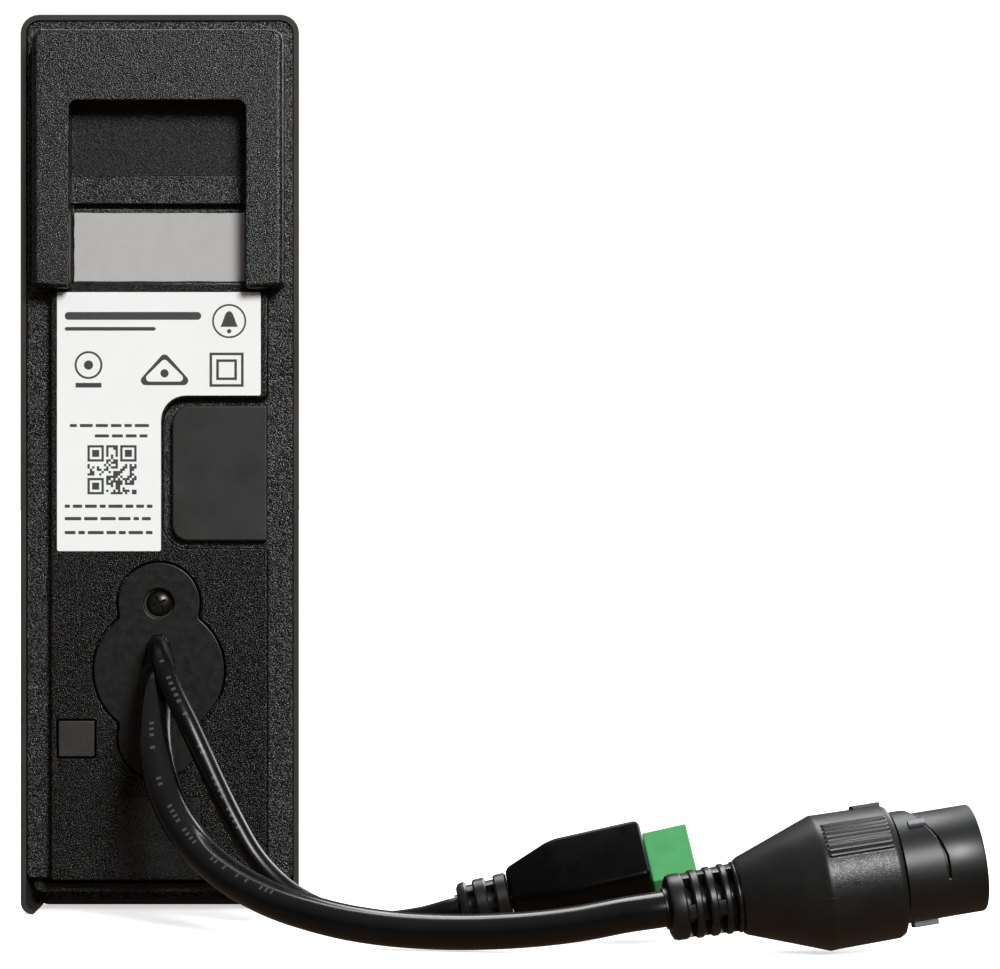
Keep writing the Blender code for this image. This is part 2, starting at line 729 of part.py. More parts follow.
def plate_outline(grow=0.0, steps=12):
    """A round middle with a smaller round lobe above and below, joined by short chords."""
    big, small = PLATE_R + grow, LOBE_R + grow
    # The angles at which the two circles meet, seen from the lobe's centre and from the middle.
    crossing = (LOBE_OFFSET**2 + small**2 - big**2) / (2 * LOBE_OFFSET * small)
    lobe_end = math.pi - math.acos(crossing)
    middle_start = math.asin(small * math.sin(lobe_end) / big)
    lobe_end *= 0.96
    middle_start *= 1.06
    lobe = []
    side = []
    for step in range(steps + 1):
        share = step / steps
        angle = lobe_end * (2 * share - 1)
        lobe.append((small * math.sin(angle), LOBE_OFFSET + small * math.cos(angle)))
        angle = middle_start + (math.pi - 2 * middle_start) * share
        side.append((big * math.sin(angle), big * math.cos(angle)))
    half = lobe + side
    whole = half + [(-x, -z) for x, z in half]
    return [(x, z + PLATE_Z) for x, z in whole]


def outlet_outline(grow=0.0, steps=12):
    """The hole round both cables: a big circle with a small one above it."""
    big, small = THICK_D / 2 + grow, THIN_D / 2 + grow
    rise = THIN_Z - THICK_Z
    lean = math.acos((big - small) / rise)
    points = []
    for step in range(steps + 1):
        angle = -lean + 2 * lean * step / steps
        points.append((small * math.sin(angle), THIN_Z + small * math.cos(angle)))
    for step in range(steps + 1):
        angle = lean + (TURN - 2 * lean) * step / steps
        points.append((big * math.sin(angle), THICK_Z + big * math.cos(angle)))
    return points


def make_back_cover(parts, cutters):
    """The stepped back: side strips, a raised panel with a notch, and the raised upper block."""
    base = rectangle(COVER_HALF, *COVER_Z, 0.6, 2.4)
    cover = prism("back_cover", [base], COVER_Y, STRIP_Y, parts, BLACK_SHELL)
    low, high = PANEL_Z
    panel = outline(
        [
            (-PANEL_HALF, low, 0.6),
            (PANEL_HALF, low, 0.6),
            (PANEL_HALF, high, 0),
            (-PANEL_HALF, high, 0),
            (-PANEL_HALF, NOTCH_Z[1], 0.7),
            (NOTCH_X, NOTCH_Z[1], NOTCH_CORNER),
            (NOTCH_X, NOTCH_Z[0], NOTCH_CORNER),
            (-PANEL_HALF, NOTCH_Z[0], 0.7),
        ],
        segments=6,
    )
    raised = prism("cover_panel", [panel], STRIP_Y - 1, PANEL_Y, cutters)
    bevel_at(raised, PANEL_Y, 0.4, 1)
    boolean(cover, raised, "UNION")
    foot, top = BLOCK_Z
    block = outline(
        [
            (-BLOCK_HALF, foot, 1.0),
            (-POCKET_HALF, foot, 1.0),
            (-POCKET_HALF, POCKET_TOP, 1.6),
            (POCKET_HALF, POCKET_TOP, 1.6),
            (POCKET_HALF, foot, 1.0),
            (BLOCK_HALF, foot, 1.0),
            (BLOCK_HALF, top, 2.0),
            (-BLOCK_HALF, top, 2.0),
        ],
        segments=4,
    )
    upper = prism("cover_block", [block], STRIP_Y - 1, Y_BACK, cutters)
    bevel_at(upper, Y_BACK, 0.9, 2)
    boolean(cover, upper, "UNION")
    ledge = box(
        "cover_ledge",
        (-POCKET_HALF - 0.5, STRIP_Y - 1, LEDGE_Z[0]),
        (POCKET_HALF + 0.5, STRIP_Y + 0.6, LEDGE_Z[1]),
        cutters,
    )
    boolean(cover, ledge, "UNION")
    inner = rectangle(COVER_HALF - 1.5, COVER_Z[0] + 1.5, COVER_Z[1] - 1.5, 0.6, 1.2)
    boolean(cover, prism("cut_cover", [inner], COVER_Y - 1, COVER_INNER_Y, cutters))
    hollow = outline(
        [
            (-22.4, 123.0, 0),
            (-18.6, 123.0, 0),
            (-18.6, 159.0, 0),
            (18.6, 159.0, 0),
            (18.6, 123.0, 0),
            (22.4, 123.0, 0),
            (22.4, 163.6, 0),
            (-22.4, 163.6, 0),
        ]
    )
    boolean(cover, prism("cut_block", [hollow], COVER_INNER_Y - 0.5, 11.4, cutters))
    cores = [rectangle(19.4, 103.0, 119.4, 0.6), rectangle(19.4, 9.6, 27.0, 0.6)]
    boolean(cover, prism("cut_cores", cores, COVER_INNER_Y - 0.5, PANEL_Y - 1.8, cutters))
    posts = [circle(x, z, 2.8, 12) for x, z in CASE_SCREWS]
    boolean(cover, prism("cover_posts", posts, COVER_Y, COVER_INNER_Y + 0.5, cutters), "UNION")
    pilots = [circle(x, z, 1.4, 8) for x, z in CASE_SCREWS]
    boolean(cover, prism("cut_pilot_holes", pilots, COVER_Y - 1, STRIP_Y - 0.3, cutters))
    seat = prism("cut_plate_seat", [plate_outline(GAP)], PLATE_FLOOR_Y, PANEL_Y + 1, cutters)
    boolean(cover, seat)
    x, z = TAMPER_AT
    half = TAMPER_SIZE / 2 + GAP
    through = [
        outlet_outline(0.6),
        circle(0, PLATE_Z + LOBE_OFFSET, 1.5, 16),
        rectangle(half, z - half, z + half, 0.4, segments=2, middle=x),
        circle(RESET_AT[0], RESET_AT[1], 1.8, 16),
    ]
    boolean(cover, prism("cut_through", through, COVER_Y - 1, PANEL_Y + 1, cutters))
    faint = rectangle(8.1, 7.6, 23.0, 0.6)
    boolean(cover, prism("cut_faint", [faint], PANEL_Y - 0.25, PANEL_Y + 1, cutters))


def make_back_details(parts, cutters):
    """What sits on and in the back cover: seal, pad, label, door, plate, grommet, reset."""
    seal = rectangle(24.6, 7.4, 171.9, 0.6, 2.2)
    inside = rectangle(23.4, 8.6, 170.7, 0.6, 1.2)
    prism("back_seal", [seal, inside], *SEAL_Y, parts, RUBBER_BLACK)
    pad = rectangle(POCKET_HALF - 0.4, *PAD_Z, 0.3)
    prism("thermal_pad", [pad], STRIP_Y + GAP, STRIP_Y + 1.2, parts, PAD_GREY)
    label = outline(
        [
            (19.7, 70.5, 0.4),
            (19.7, 120.6, 0.4),
            (-19.7, 120.6, 0.4),
            (-19.7, 100.6, 0.4),
            (NOTCH_X + 0.4, 100.6, NOTCH_CORNER),
            (NOTCH_X + 0.4, 70.5, 0.4),
        ]
    )
    prism("rating_label", [label], PANEL_Y + 0.1, PANEL_Y + 0.25, parts, LABEL_WHITE)
    low, high = NOTCH_Z[0] + 1.4, NOTCH_Z[1] - 1.4
    door = outline(
        [
            (-20.9, low, 0.4),
            (NOTCH_X - 1.7, low, 2.4),
            (NOTCH_X - 1.7, high, 2.4),
            (-20.9, high, 0.4),
        ],
        segments=5,
    )
    cover = prism("access_cover", [door], STRIP_Y + GAP, PANEL_Y - 0.4, parts, SMOOTH_BLACK)
    bevel_at(cover, PANEL_Y - 0.4, 0.3, 2)
    at = (RESET_AT[0], 0, RESET_AT[1])
    reset = [
        (0, 6.4),
        (1.4, 6.4),
        (1.4, 4.6),
        (2.1, 4.6),
        (2.1, 4.0),
        (0.9, 4.0),
        (0.9, 1.4),
        (0, 1.4),
    ]
    turned("reset_button", reset, at, "back", parts, RUBBER_BLACK, steps=16)
    x, z = RESET_AT
    back = BOARD_Y[1] + GAP
    box("reset_switch", (x - 2, back, z - 2), (x + 2, 0.6, z + 2), parts, CHIP_BLACK, bevel=0.2)
    plate = prism(
        "cable_cover_plate", [plate_outline()], PLATE_FLOOR_Y + GAP, PANEL_Y, parts, SMOOTH_BLACK
    )
    bevel_at(plate, PANEL_Y, 0.3, 2)
    lobe = PLATE_Z + LOBE_OFFSET
    holes = [outlet_outline(GAP), circle(0, lobe, 1.5, 16)]
    boolean(plate, prism("cut_plate", holes, 5, PANEL_Y + 1, cutters))
    boolean(plate, prism("cut_head_seat", [circle(0, lobe, 2.95, 32)], 7.6, PANEL_Y + 1, cutters))
    prism("cable_grommet", [outlet_outline()], 4.4, PANEL_Y - 0.2, parts, RUBBER_BLACK)


def make_tamper(parts, cutters):
    """The sprung square plunger that the wall holds in, and the switch under it."""
    x, z = TAMPER_AT
    half = TAMPER_SIZE / 2
    low, high = (x - half, 4.4, z - half), (x + half, PANEL_Y - 0.2, z + half)
    plunger = box("tamper_plunger", low, high, parts, PLUNGER_BROWN)
    flange = half + 0.8
    low, high = (x - flange, 3.6, z - flange), (x + flange, 4.6, z + flange)
    boolean(plunger, box("plunger_flange", low, high, cutters), "UNION")
    stem = box("plunger_stem", (x - 1, 2.4, z - 1), (x + 1, 3.8, z + 1), cutters)
    boolean(plunger, stem, "UNION")
    back = BOARD_Y[1] + GAP
    box("tamper_switch", (x - 3, back, z - 3), (x + 3, 0.5, z + 3), parts, CHIP_BLACK)


# Cables and what is on them ----------------------------------------------------------------------


def ribbed_relief(name, parent, length, core, rib, ribs, parts):
    """A flexible strain relief: a core with round ribs and narrow gaps between them."""
    pitch = length / (ribs - 0.28)
    thick = pitch * 0.72
    profile = [(0, length)]
    for index in range(ribs):
        top = length - index * pitch
        bottom = top - thick
        profile += [(rib - 0.3, top), (rib, top - 0.3), (rib, bottom + 0.3), (rib - 0.3, bottom)]
        if index < ribs - 1:
            profile += [(core, bottom), (core, top - pitch)]
    profile += [(0, 0)]
    return smooth(
        turned(name, profile, (0, 0, 0), None, parts, RUBBER_BLACK, parent, steps=20)
    )


def make_coupler(parts, cutters):
    """The waterproof network coupler: strain relief, ribbed body, bayonet nose and jack."""
    at = axis_empty("coupler_axis", COUPLER_AT, COUPLER_TILT, COUPLER_TURN, 0, parts)
    ribbed_relief("coupler_strain_relief", at, 12.4, 4.0, 5.6, 4, parts)
    body = [
        (0, 41.4),
        (10.4, 41.4),
        (11.4, 40.9),
        (11.9, 39.8),
        (12.15, 27.4),
        (11.9, 26.6),
        (6.7, 13.1),
        (6.2, 12.7),
        (0, 12.7),
    ]
    smooth(turned("coupler_body", body, (0, 0, 0), None, parts, SMOOTH_BLACK, at, steps=28), 20)
    nose = [
        (0, 43.2),
        (8.3, 43.2),
        (8.3, 56.2),
        (9.3, 56.2),
        (9.6, 55.8),
        (9.6, 48.4),
        (10.5, 48.4),
        (10.5, 41.7),
        (0, 41.7),
    ]
    shell = turned("coupler_nose", nose, (0, 0, 0), None, parts, SMOOTH_BLACK, at, steps=28)
    smooth(shell, 30)
    jack = box("network_jack", (-6.45, -4.8, 43.5), (6.45, 4.8, 55.2), parts, CHIP_BLACK, at)
    cavity = box("cut_jack", (-5.9, -3.1, 45.2), (5.9, 4.2, 57), cutters, parent=at)
    boolean(jack, cavity)
    key = box("cut_jack_key", (-3.0, -4.3, 45.2), (3.0, -2.9, 57), cutters, parent=at)
    boolean(jack, key)
    comb = box("jack_contacts", (-4.4, 3.0, 45.5), (4.4, 3.9, 46.3), parts, GOLD, at)
    for index in range(8):
        x = (index - 3.5) * 1.05
        name = f"contact_{index + 1}"
        wire = box(name, (x - 0.22, 3.3, 45.9), (x + 0.22, 3.9, 53), cutters, parent=at)
        boolean(comb, wire, "UNION")


def make_terminal(parts, cutters):
    """The pluggable terminal block: strain relief, overmould, socket, and the plug in it."""
    at = axis_empty("terminal_axis", TERMINAL_AT, TERMINAL_TILT, 0, TERMINAL_ROLL, parts)
    ribbed_relief("terminal_strain_relief", at, 9.2, 3.2, 4.5, 3, parts)
    start, shoulder, finish, taper = 9.5, 18.8, 35.6, 0.62
    size = (*TERMINAL_SIZE, finish - shoulder)
    mesh = bpy.data.meshes.new("terminal_overmould")
    shape = bmesh.new()
    bmesh.ops.create_cube(shape, size=1)
    bmesh.ops.scale(shape, vec=[value * MM for value in size], verts=shape.verts)
    bmesh.ops.translate(shape, vec=(0, 0, (shoulder + finish) / 2 * MM), verts=shape.verts)
    low = min(shape.faces, key=lambda face: face.calc_center_median().z)
    grown = bmesh.ops.extrude_discrete_faces(shape, faces=[low])["faces"][0]
    for vert in grown.verts:
        vert.co = (vert.co.x * taper, vert.co.y * taper, start * MM)
    bmesh.ops.recalc_face_normals(shape, faces=shape.faces)
    sharp = [edge for edge in shape.edges if edge.calc_face_angle(0) > 0.1]
    bmesh.ops.bevel(shape, geom=sharp, offset=0.9 * MM, segments=3, profile=0.5, affect="EDGES")
    shape.to_mesh(mesh)
    shape.free()
    over = bpy.data.objects.new("terminal_overmould", mesh)
    link(over, parts, SMOOTH_BLACK, at)
    a, (b, c) = PLUG_WIDTH / 2, PLUG_SIDES
    room = box("cut_over", (-a - 0.3, b - 0.3, 27), (a + 0.3, c + 0.3, 37), cutters, parent=at)
    boolean(over, room)
    socket = box("terminal_socket", (-a, b, 27.3), (a, c, 35.3), parts, TERMINAL_GREEN, at)
    low, high = (-a + 1.2, b + 1.2, 28.5), (a - 1.2, c - 1.2, 37)
    boolean(socket, box("cut_socket", low, high, cutters, parent=at))
    plug = box("terminal_plug", (-a, b, 35.7), (a, c, 44.0), parts, TERMINAL_GREEN, at, 0.3)
    low, high = (-a + 1.6, b + 1.6, 29.0), (a - 1.6, c - 1.6, 36.5)
    boolean(plug, box("plug_nose", low, high, cutters, parent=at), "UNION")
    for index in range(3):
        x = (index - 1) * 3.5
        low, high = (x - 1.2, -3.4, 38.5), (x + 1.2, 0.4, 46)
        boolean(plug, box(f"cut_entry_{index + 1}", low, high, cutters, parent=at))


def make_cables(parts):
    """The network cable to the coupler and the thinner control cable to the terminal block."""
    to_coupler = direction(COUPLER_TILT, COUPLER_TURN)
    tube("network_cable", THICK_ROUTE, THICK_D, COUPLER_AT, to_coupler, parts, CABLE_BLACK)
    to_terminal = direction(TERMINAL_TILT, 0)
    tube("control_cable", THIN_ROUTE, THIN_D, TERMINAL_AT, to_terminal, parts, CABLE_BLACK)


def main():
    clear_scene()
    parts = collection("video_doorbell")
    cutters = collection("cutters", hidden=True)
    make_faceplate(parts, cutters)
    make_front_frame(parts)
    make_camera(parts)
    make_call_button(parts)
    make_sound(parts)
    make_tub(parts, cutters)
    make_boards(parts, cutters)
    make_screws(parts)
    make_back_cover(parts, cutters)
    make_back_details(parts, cutters)
    make_tamper(parts, cutters)
    make_coupler(parts, cutters)
    make_terminal(parts, cutters)
    make_cables(parts)


main()
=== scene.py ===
"""The looks of a video doorbell that stands on its lower edge with its back to the camera.

Sizes are in millimetres in the CAD model's frame: Z is up, +Y comes out of the back, and the two
cables lie towards -X. The pieces made here stand for the nodes that show, with the rounded
edges, textures and small mouldings that the plain solids leave out. Lengths become metres where
a mesh, a curve or an object is made.
"""

import json
import math
import random

import bmesh
import bpy
from mathutils import Matrix, Vector
from mathutils.geometry import tessellate_polygon


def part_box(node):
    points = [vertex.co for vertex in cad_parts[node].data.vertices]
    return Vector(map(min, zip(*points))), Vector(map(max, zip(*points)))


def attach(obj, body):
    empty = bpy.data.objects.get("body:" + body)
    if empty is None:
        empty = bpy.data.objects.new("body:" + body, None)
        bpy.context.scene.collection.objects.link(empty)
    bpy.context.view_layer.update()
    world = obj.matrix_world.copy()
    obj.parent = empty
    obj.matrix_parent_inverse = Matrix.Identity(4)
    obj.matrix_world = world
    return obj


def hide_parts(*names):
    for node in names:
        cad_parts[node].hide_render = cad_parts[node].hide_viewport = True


MM = 0.001
TURN = 2 * math.pi

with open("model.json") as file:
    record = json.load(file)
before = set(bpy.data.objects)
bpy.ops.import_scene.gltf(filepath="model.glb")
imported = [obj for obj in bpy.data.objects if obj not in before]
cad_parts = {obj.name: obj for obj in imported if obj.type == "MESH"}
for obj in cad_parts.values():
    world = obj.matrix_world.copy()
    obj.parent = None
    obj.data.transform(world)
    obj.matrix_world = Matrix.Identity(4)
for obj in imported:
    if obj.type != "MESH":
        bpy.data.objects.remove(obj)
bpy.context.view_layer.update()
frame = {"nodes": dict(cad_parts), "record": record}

# The housing, as the CAD has it.
Y_FRONT = -13.0
Y_STRIP = 6.5
Y_PANEL = 9.0
Y_BLOCK = 13.0
COVER_HALF = 25.4
COVER_Z = (7.2, 172.8)
PANEL_HALF = 21.1
PANEL_Z = (6.9, 122.5)
BLOCK_HALF = 24.2
BLOCK_Z = (121.2, 171.0)
POCKET_HALF = 17.0
POCKET_TOP = 157.4
LEDGE_Z = (137.8, 143.2)
NOTCH_X = -0.8
NOTCH_Z = (71.1, 100.1)
NOTCH_CORNER = 4.8
PLATE_Z = 47.4
PLATE_R = 12.6
LOBE_R = 7.9
LOBE_OFFSET = 13.0
SCREW_Z = PLATE_Z + LOBE_OFFSET
TAMPER_AT = (16.0, 34.2)
RESET_AT = (-11.4, 85.6)
THICK_D = 6.5
THIN_D = 4.0
THICK_Z = 46.6
THIN_Z = 52.2

# The faint, shallow rectangle low on the panel.
FAINT_HALF = 8.1
FAINT_Z = (7.6, 23.0)
FAINT_DEPTH = 0.25

# The front.
WINDOW_Z = 139.5
WINDOW_HALF = (21.0, 26.0)
WINDOW_CORNER = 5.0
LENS_Z = 146.0
LED_X = 14.5
SENSOR_Z = 121.0
SPEAKER_Z = 90.0
BUTTON_Z = 45.0
BUTTON_R = 11.6

# Where the light comes from, seen from the back: degrees to the right and above its normal.
KEY_RIGHT = 23.0
KEY_ABOVE = 27.0

# The pieces on the cable ends: where each cable enters, and how its axis leans.
COUPLER_AT = (-95.7, 74.2, 8.3)
COUPLER_TILT = math.radians(8.7)
COUPLER_TURN = math.radians(6.0)
TERMINAL_AT = (-58.6, 45.0, 5.4)
TERMINAL_TILT = math.radians(12.6)
TERMINAL_ROLL = math.radians(50.0)

# Routes of the cables, repeated from the CAD.
THICK_ROUTE = [
    (0.0, 9.2, 46.6),
    (0.0, 11.4, 46.6),
    (-0.3, 15.6, 45.6),
    (-0.6, 19.6, 42.6),
    (-0.7, 23.6, 37.9),
    (-1.2, 27.8, 32.6),
    (-2.9, 31.8, 26.2),
    (-6.1, 36.0, 20.2),
    (-11.0, 41.5, 14.8),
    (-17.2, 48.6, 10.8),
    (-24.4, 55.4, 7.9),
    (-31.6, 60.4, 6.0),
    (-39.6, 64.0, 4.5),
    (-49.0, 66.6, 3.6),
    (-60.0, 69.0, 3.5),
    (-70.5, 71.3, 4.2),
    (-79.5, 73.0, 5.4),
    (-88.0, 74.0, 7.1),
]
THIN_ROUTE = [
    (0.0, 9.2, 52.2),
    (0.0, 11.6, 52.2),
    (-0.6, 16.5, 51.3),
    (-2.0, 21.5, 48.3),
    (-4.6, 25.5, 43.1),
    (-7.1, 27.6, 38.3),
    (-9.8, 28.8, 32.6),
    (-12.6, 29.6, 26.6),
    (-15.8, 30.2, 20.2),
    (-19.6, 31.1, 13.8),
    (-24.4, 32.4, 8.7),
    (-30.0, 34.2, 5.1),
    (-36.6, 36.8, 2.9),
    (-44.0, 40.2, 2.2),
    (-51.0, 43.6, 3.3),
]

# How far the cover reaches out towards the flange, past the solid, to leave a hairline gap.
SEAM_FILL = 0.38
SEAM_TOP = 0.5

# The camera stands level and looks along -Y.
CAMERA_AT = (-65.97, 787.0, 83.4)
CAMERA_LENS = 144.8
SENSOR_WIDTH = 36.0

# Half the floor's side, in metres.
FLOOR_HALF = 12

# The row of printed dashes along a cable: the spacing and the height of its dashes, where it is
# round the cable and along it, and the shares of a step that is dash and of dashes left out.
DASH_STEP = 1.3
DASH_HIGH = 0.9
DASH_ROUND = 0.24
DASH_REACH = (0.13, 0.5)
DASH_SHARE = 0.42
DASH_LEFT_OUT = 0.4

# How far printed marks stand proud of their surface, and as far below it.
PRINT = 0.012

# The label, whose foot and side follow the notch.
LABEL_HALF = 19.7
LABEL_Z = (70.5, 120.6)
LABEL_CORNER = 0.4

# The record's name for the finish of most black pieces.
PLASTIC = "smooth_black_plastic"


# Outlines --------------------------------------------------------------------------------------


def corner_arc(corner, before, after, radius, segments):
    """Points of an arc that rounds the corner between its two neighbours."""
    corner, before, after = Vector(corner), Vector(before), Vector(after)
    to_before = (before - corner).normalized()
    to_after = (after - corner).normalized()
    half_angle = to_before.angle(to_after) / 2
    centre = corner + (to_before + to_after).normalized() * (radius / math.sin(half_angle))
    start = corner + to_before * (radius / math.tan(half_angle)) - centre
    sweep = start.angle_signed(corner + to_after * (radius / math.tan(half_angle)) - centre)
    return [
        tuple(centre + Matrix.Rotation(-sweep * step / segments, 2) @ start)
        for step in range(segments + 1)
    ]


def outline(corners, segments=8):
    """A closed outline from (x, z, radius) corners; a radius of 0 keeps the corner sharp."""
    points = []
    for index, (x, z, radius) in enumerate(corners):
        if radius <= 0:
            points.append((x, z))
            continue
        before = corners[index - 1][:2]
        after = corners[(index + 1) % len(corners)][:2]
        points += corner_arc((x, z), before, after, radius, segments)
    return points


def rectangle(half, low, high, low_radius=0.0, high_radius=None, segments=8, middle=0.0):
    """A rectangle from middle - half to middle + half and from low to high."""
    high_radius = low_radius if high_radius is None else high_radius
    return outline(
        [
            (middle - half, low, low_radius),
            (middle + half, low, low_radius),
            (middle + half, high, high_radius),
            (middle - half, high, high_radius),
        ],
        segments,
    )


def circle(x, z, radius, steps):
    return [
        (x + radius * math.cos(TURN * step / steps), z + radius * math.sin(TURN * step / steps))
        for step in range(steps)
    ]


def plate_outline(grow=0.0, steps=32):
    """A round middle with a smaller round lobe above and below, joined by short chords."""
    big, small = PLATE_R + grow, LOBE_R + grow
    crossing = (LOBE_OFFSET**2 + small**2 - big**2) / (2 * LOBE_OFFSET * small)
    lobe_end = math.pi - math.acos(crossing)
    middle_start = math.asin(small * math.sin(lobe_end) / big)
    # Both arcs stop short of where they cross, and a chord joins them.
    lobe_end *= 0.96
    middle_start *= 1.06
    lobe = []
    side = []
    for step in range(steps + 1):
        share = step / steps
        angle = lobe_end * (2 * share - 1)
        lobe.append((small * math.sin(angle), LOBE_OFFSET + small * math.cos(angle)))
        angle = middle_start + (math.pi - 2 * middle_start) * share
        side.append((big * math.sin(angle), big * math.cos(angle)))
    half = lobe + side
    whole = half + [(-x, -z) for x, z in half]
    return [(x, z + PLATE_Z) for x, z in whole]


def outlet_outline(grow=0.0, steps=24):
    """The hole round both cables: a big circle with a small one above it."""
    big, small = THICK_D / 2 + grow, THIN_D / 2 + grow
    lean = math.acos((big - small) / (THIN_Z - THICK_Z))
    points = []
    for step in range(steps + 1):
        angle = -lean + 2 * lean * step / steps
        points.append((small * math.sin(angle), THIN_Z + small * math.cos(angle)))
    for step in range(steps + 1):
        angle = lean + (TURN - 2 * lean) * step / steps
        points.append((big * math.sin(angle), THICK_Z + big * math.cos(angle)))
    return points


# Meshes ----------------------------------------------------------------------------------------


def add_object(name, data):
    obj = bpy.data.objects.new(name, data)
    bpy.context.scene.collection.objects.link(obj)
    return obj


def mesh_of(shape, name="mesh"):
    """The mesh of a bmesh, which is freed."""
    mesh = bpy.data.meshes.new(name)
    shape.to_mesh(mesh)
    shape.free()
    return mesh


def shape_of(mesh):
    """The bmesh of a mesh, which is removed."""
    shape = bmesh.new()
    shape.from_mesh(mesh)
    bpy.data.meshes.remove(mesh)
    return shape


def add_piece(name, data, node, body):
    """An object that rides on a body and stands for a CAD node, if any, which it hides."""
    obj = add_object(name, data)
    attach(obj, body)
    if node:
        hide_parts(node)
    return obj


def place(name, shape, finish, node=None, body="housing", angle=30):
    """A piece from a bmesh, shaded smooth but for edges sharper than the angle."""
    mesh = mesh_of(shape, name)
    mesh.shade_smooth()
    mesh.set_sharp_from_angle(angle=math.radians(angle))
    flat = mesh.attributes.get("flat_face")
    if flat:
        for polygon, mark in zip(mesh.polygons, flat.data):
            polygon.use_smooth = not mark.value
        mesh.attributes.remove(flat)
    mesh.materials.append(finish)
    return add_piece(name, mesh, node, body)


def prism_shape(outlines, low_y, high_y):
    """A flat solid as a bmesh: outlines in X and Z, the later ones being holes."""
    curve = bpy.data.curves.new("outline", "CURVE")
    curve.dimensions = "2D"
    curve.fill_mode = "BOTH"
    curve.extrude = (high_y - low_y) / 2 * MM
    for points in outlines:
        spline = curve.splines.new("POLY")
        spline.points.add(len(points) - 1)
        spline.use_cyclic_u = True
        for point, (x, z) in zip(spline.points, points):
            point.co = (x * MM, z * MM, 0, 1)
    obj = bpy.data.objects.new("outline", curve)
    mesh = bpy.data.meshes.new_from_object(obj)
    bpy.data.objects.remove(obj)
    bpy.data.curves.remove(curve)
    shape = shape_of(mesh)
    bmesh.ops.remove_doubles(shape, verts=shape.verts, dist=1e-7)
    half_degree = math.radians(0.5)
    bmesh.ops.dissolve_limit(shape, angle_limit=half_degree, verts=shape.verts, edges=shape.edges)
    middle = Matrix.Translation((0, (low_y + high_y) / 2 * MM, 0))
    upright = middle @ Matrix.Rotation(math.pi / 2, 4, "X")
    bmesh.ops.transform(shape, matrix=upright, verts=shape.verts)
    bmesh.ops.recalc_face_normals(shape, faces=shape.faces)
    return shape


def join_shapes(*shapes):
    """One bmesh with the faces of all of them."""
    joined = bmesh.new()
    for shape in shapes:
        mesh = mesh_of(shape)
        joined.from_mesh(mesh)
        bpy.data.meshes.remove(mesh)
    return joined


def signed_area(points):
    return sum(a[0] * b[1] - b[0] * a[1] for a, b in zip(points, points[1:] + points[:1])) / 2


def inset(points, depth_at):
    """An outline moved to its left by a depth that a function gives for each point."""
    moved = []
    for index, point in enumerate(points):
        here = Vector(point)
        coming = (here - Vector(points[index - 1])).normalized()
        going = (Vector(points[(index + 1) % len(points)]) - here).normalized()
        left = Vector((-coming.y - going.y, coming.x + going.x))
        moved.append(here + left * (depth_at(*point) / (1 + coming.dot(going))))
    return moved


def quarter_turn(steps):
    """The angles of a quarter turn in equal steps, from 0."""
    return [math.pi / 2 * step / steps for step in range(steps + 1)]


def moulded_shape(outlines, low_y, high_y, radius, steps=5):
    """A flat moulding as a bmesh: a prism whose edges at high_y are rounded.

    The radius is a number, or a function of x and z. Later outlines are holes.
    """
    radius_at = radius if callable(radius) else lambda x, z: radius
    shape = bmesh.new()
    flat = shape.faces.layers.int.new("flat_face")
    bottoms, tops = [], []
    for number, points in enumerate(outlines):
        clean = [point for index, point in enumerate(points) if not close(point, points[index - 1])]
        if (signed_area(clean) > 0) != (number == 0):
            clean.reverse()
        rows = [[shape.verts.new((x * MM, low_y * MM, z * MM)) for x, z in clean]]
        for angle in quarter_turn(steps):
            drawn_in = inset(clean, lambda x, z: radius_at(x, z) * (1 - math.cos(angle)))
            row = []
            for at, point in zip(drawn_in, clean):
                y = high_y - radius_at(*point) * (1 - math.sin(angle))
                row.append(shape.verts.new((at.x * MM, y * MM, at.y * MM)))
            rows.append(row)
        for row, above in zip(rows, rows[1:]):
            for index in range(len(row)):
                shape.faces.new((row[index - 1], row[index], above[index], above[index - 1]))
        bottoms.append(rows[0])
        tops.append(rows[-1])
    for loops in (bottoms, tops):
        verts = [vert for loop in loops for vert in loop]
        for corners in tessellate_polygon([[vert.co for vert in loop] for loop in loops]):
            shape.faces.new([verts[corner] for corner in corners])[flat] = 1
    bmesh.ops.recalc_face_normals(shape, faces=shape.faces)
    return shape


def close(first, second):
    return math.hypot(first[0] - second[0], first[1] - second[1]) < 1e-4


def round_edges(obj, width, angle=40):
    """Rounds every sharp edge, and keeps flat faces flat in the shading."""
    bevel = obj.modifiers.new("round", "BEVEL")
    bevel.width = width * MM
    bevel.segments = 3
    bevel.limit_method = "ANGLE"
    bevel.angle_limit = math.radians(angle)
    bevel.harden_normals = True
    return obj


def slab(name, outlines, low_y, high_y, edge, finish, node=None, body="housing"):
    """A flat moulded piece; its edges at high_y, which may be the lower of the two, are rounded."""
    if high_y < low_y:
        shape = moulded_shape(outlines, -low_y, -high_y, edge)
        bmesh.ops.scale(shape, vec=(1, -1, 1), verts=shape.verts)
        bmesh.ops.reverse_faces(shape, faces=shape.faces)
    else:
        shape = moulded_shape(outlines, low_y, high_y, edge)
    return place(name, shape, finish, node, body, 40)


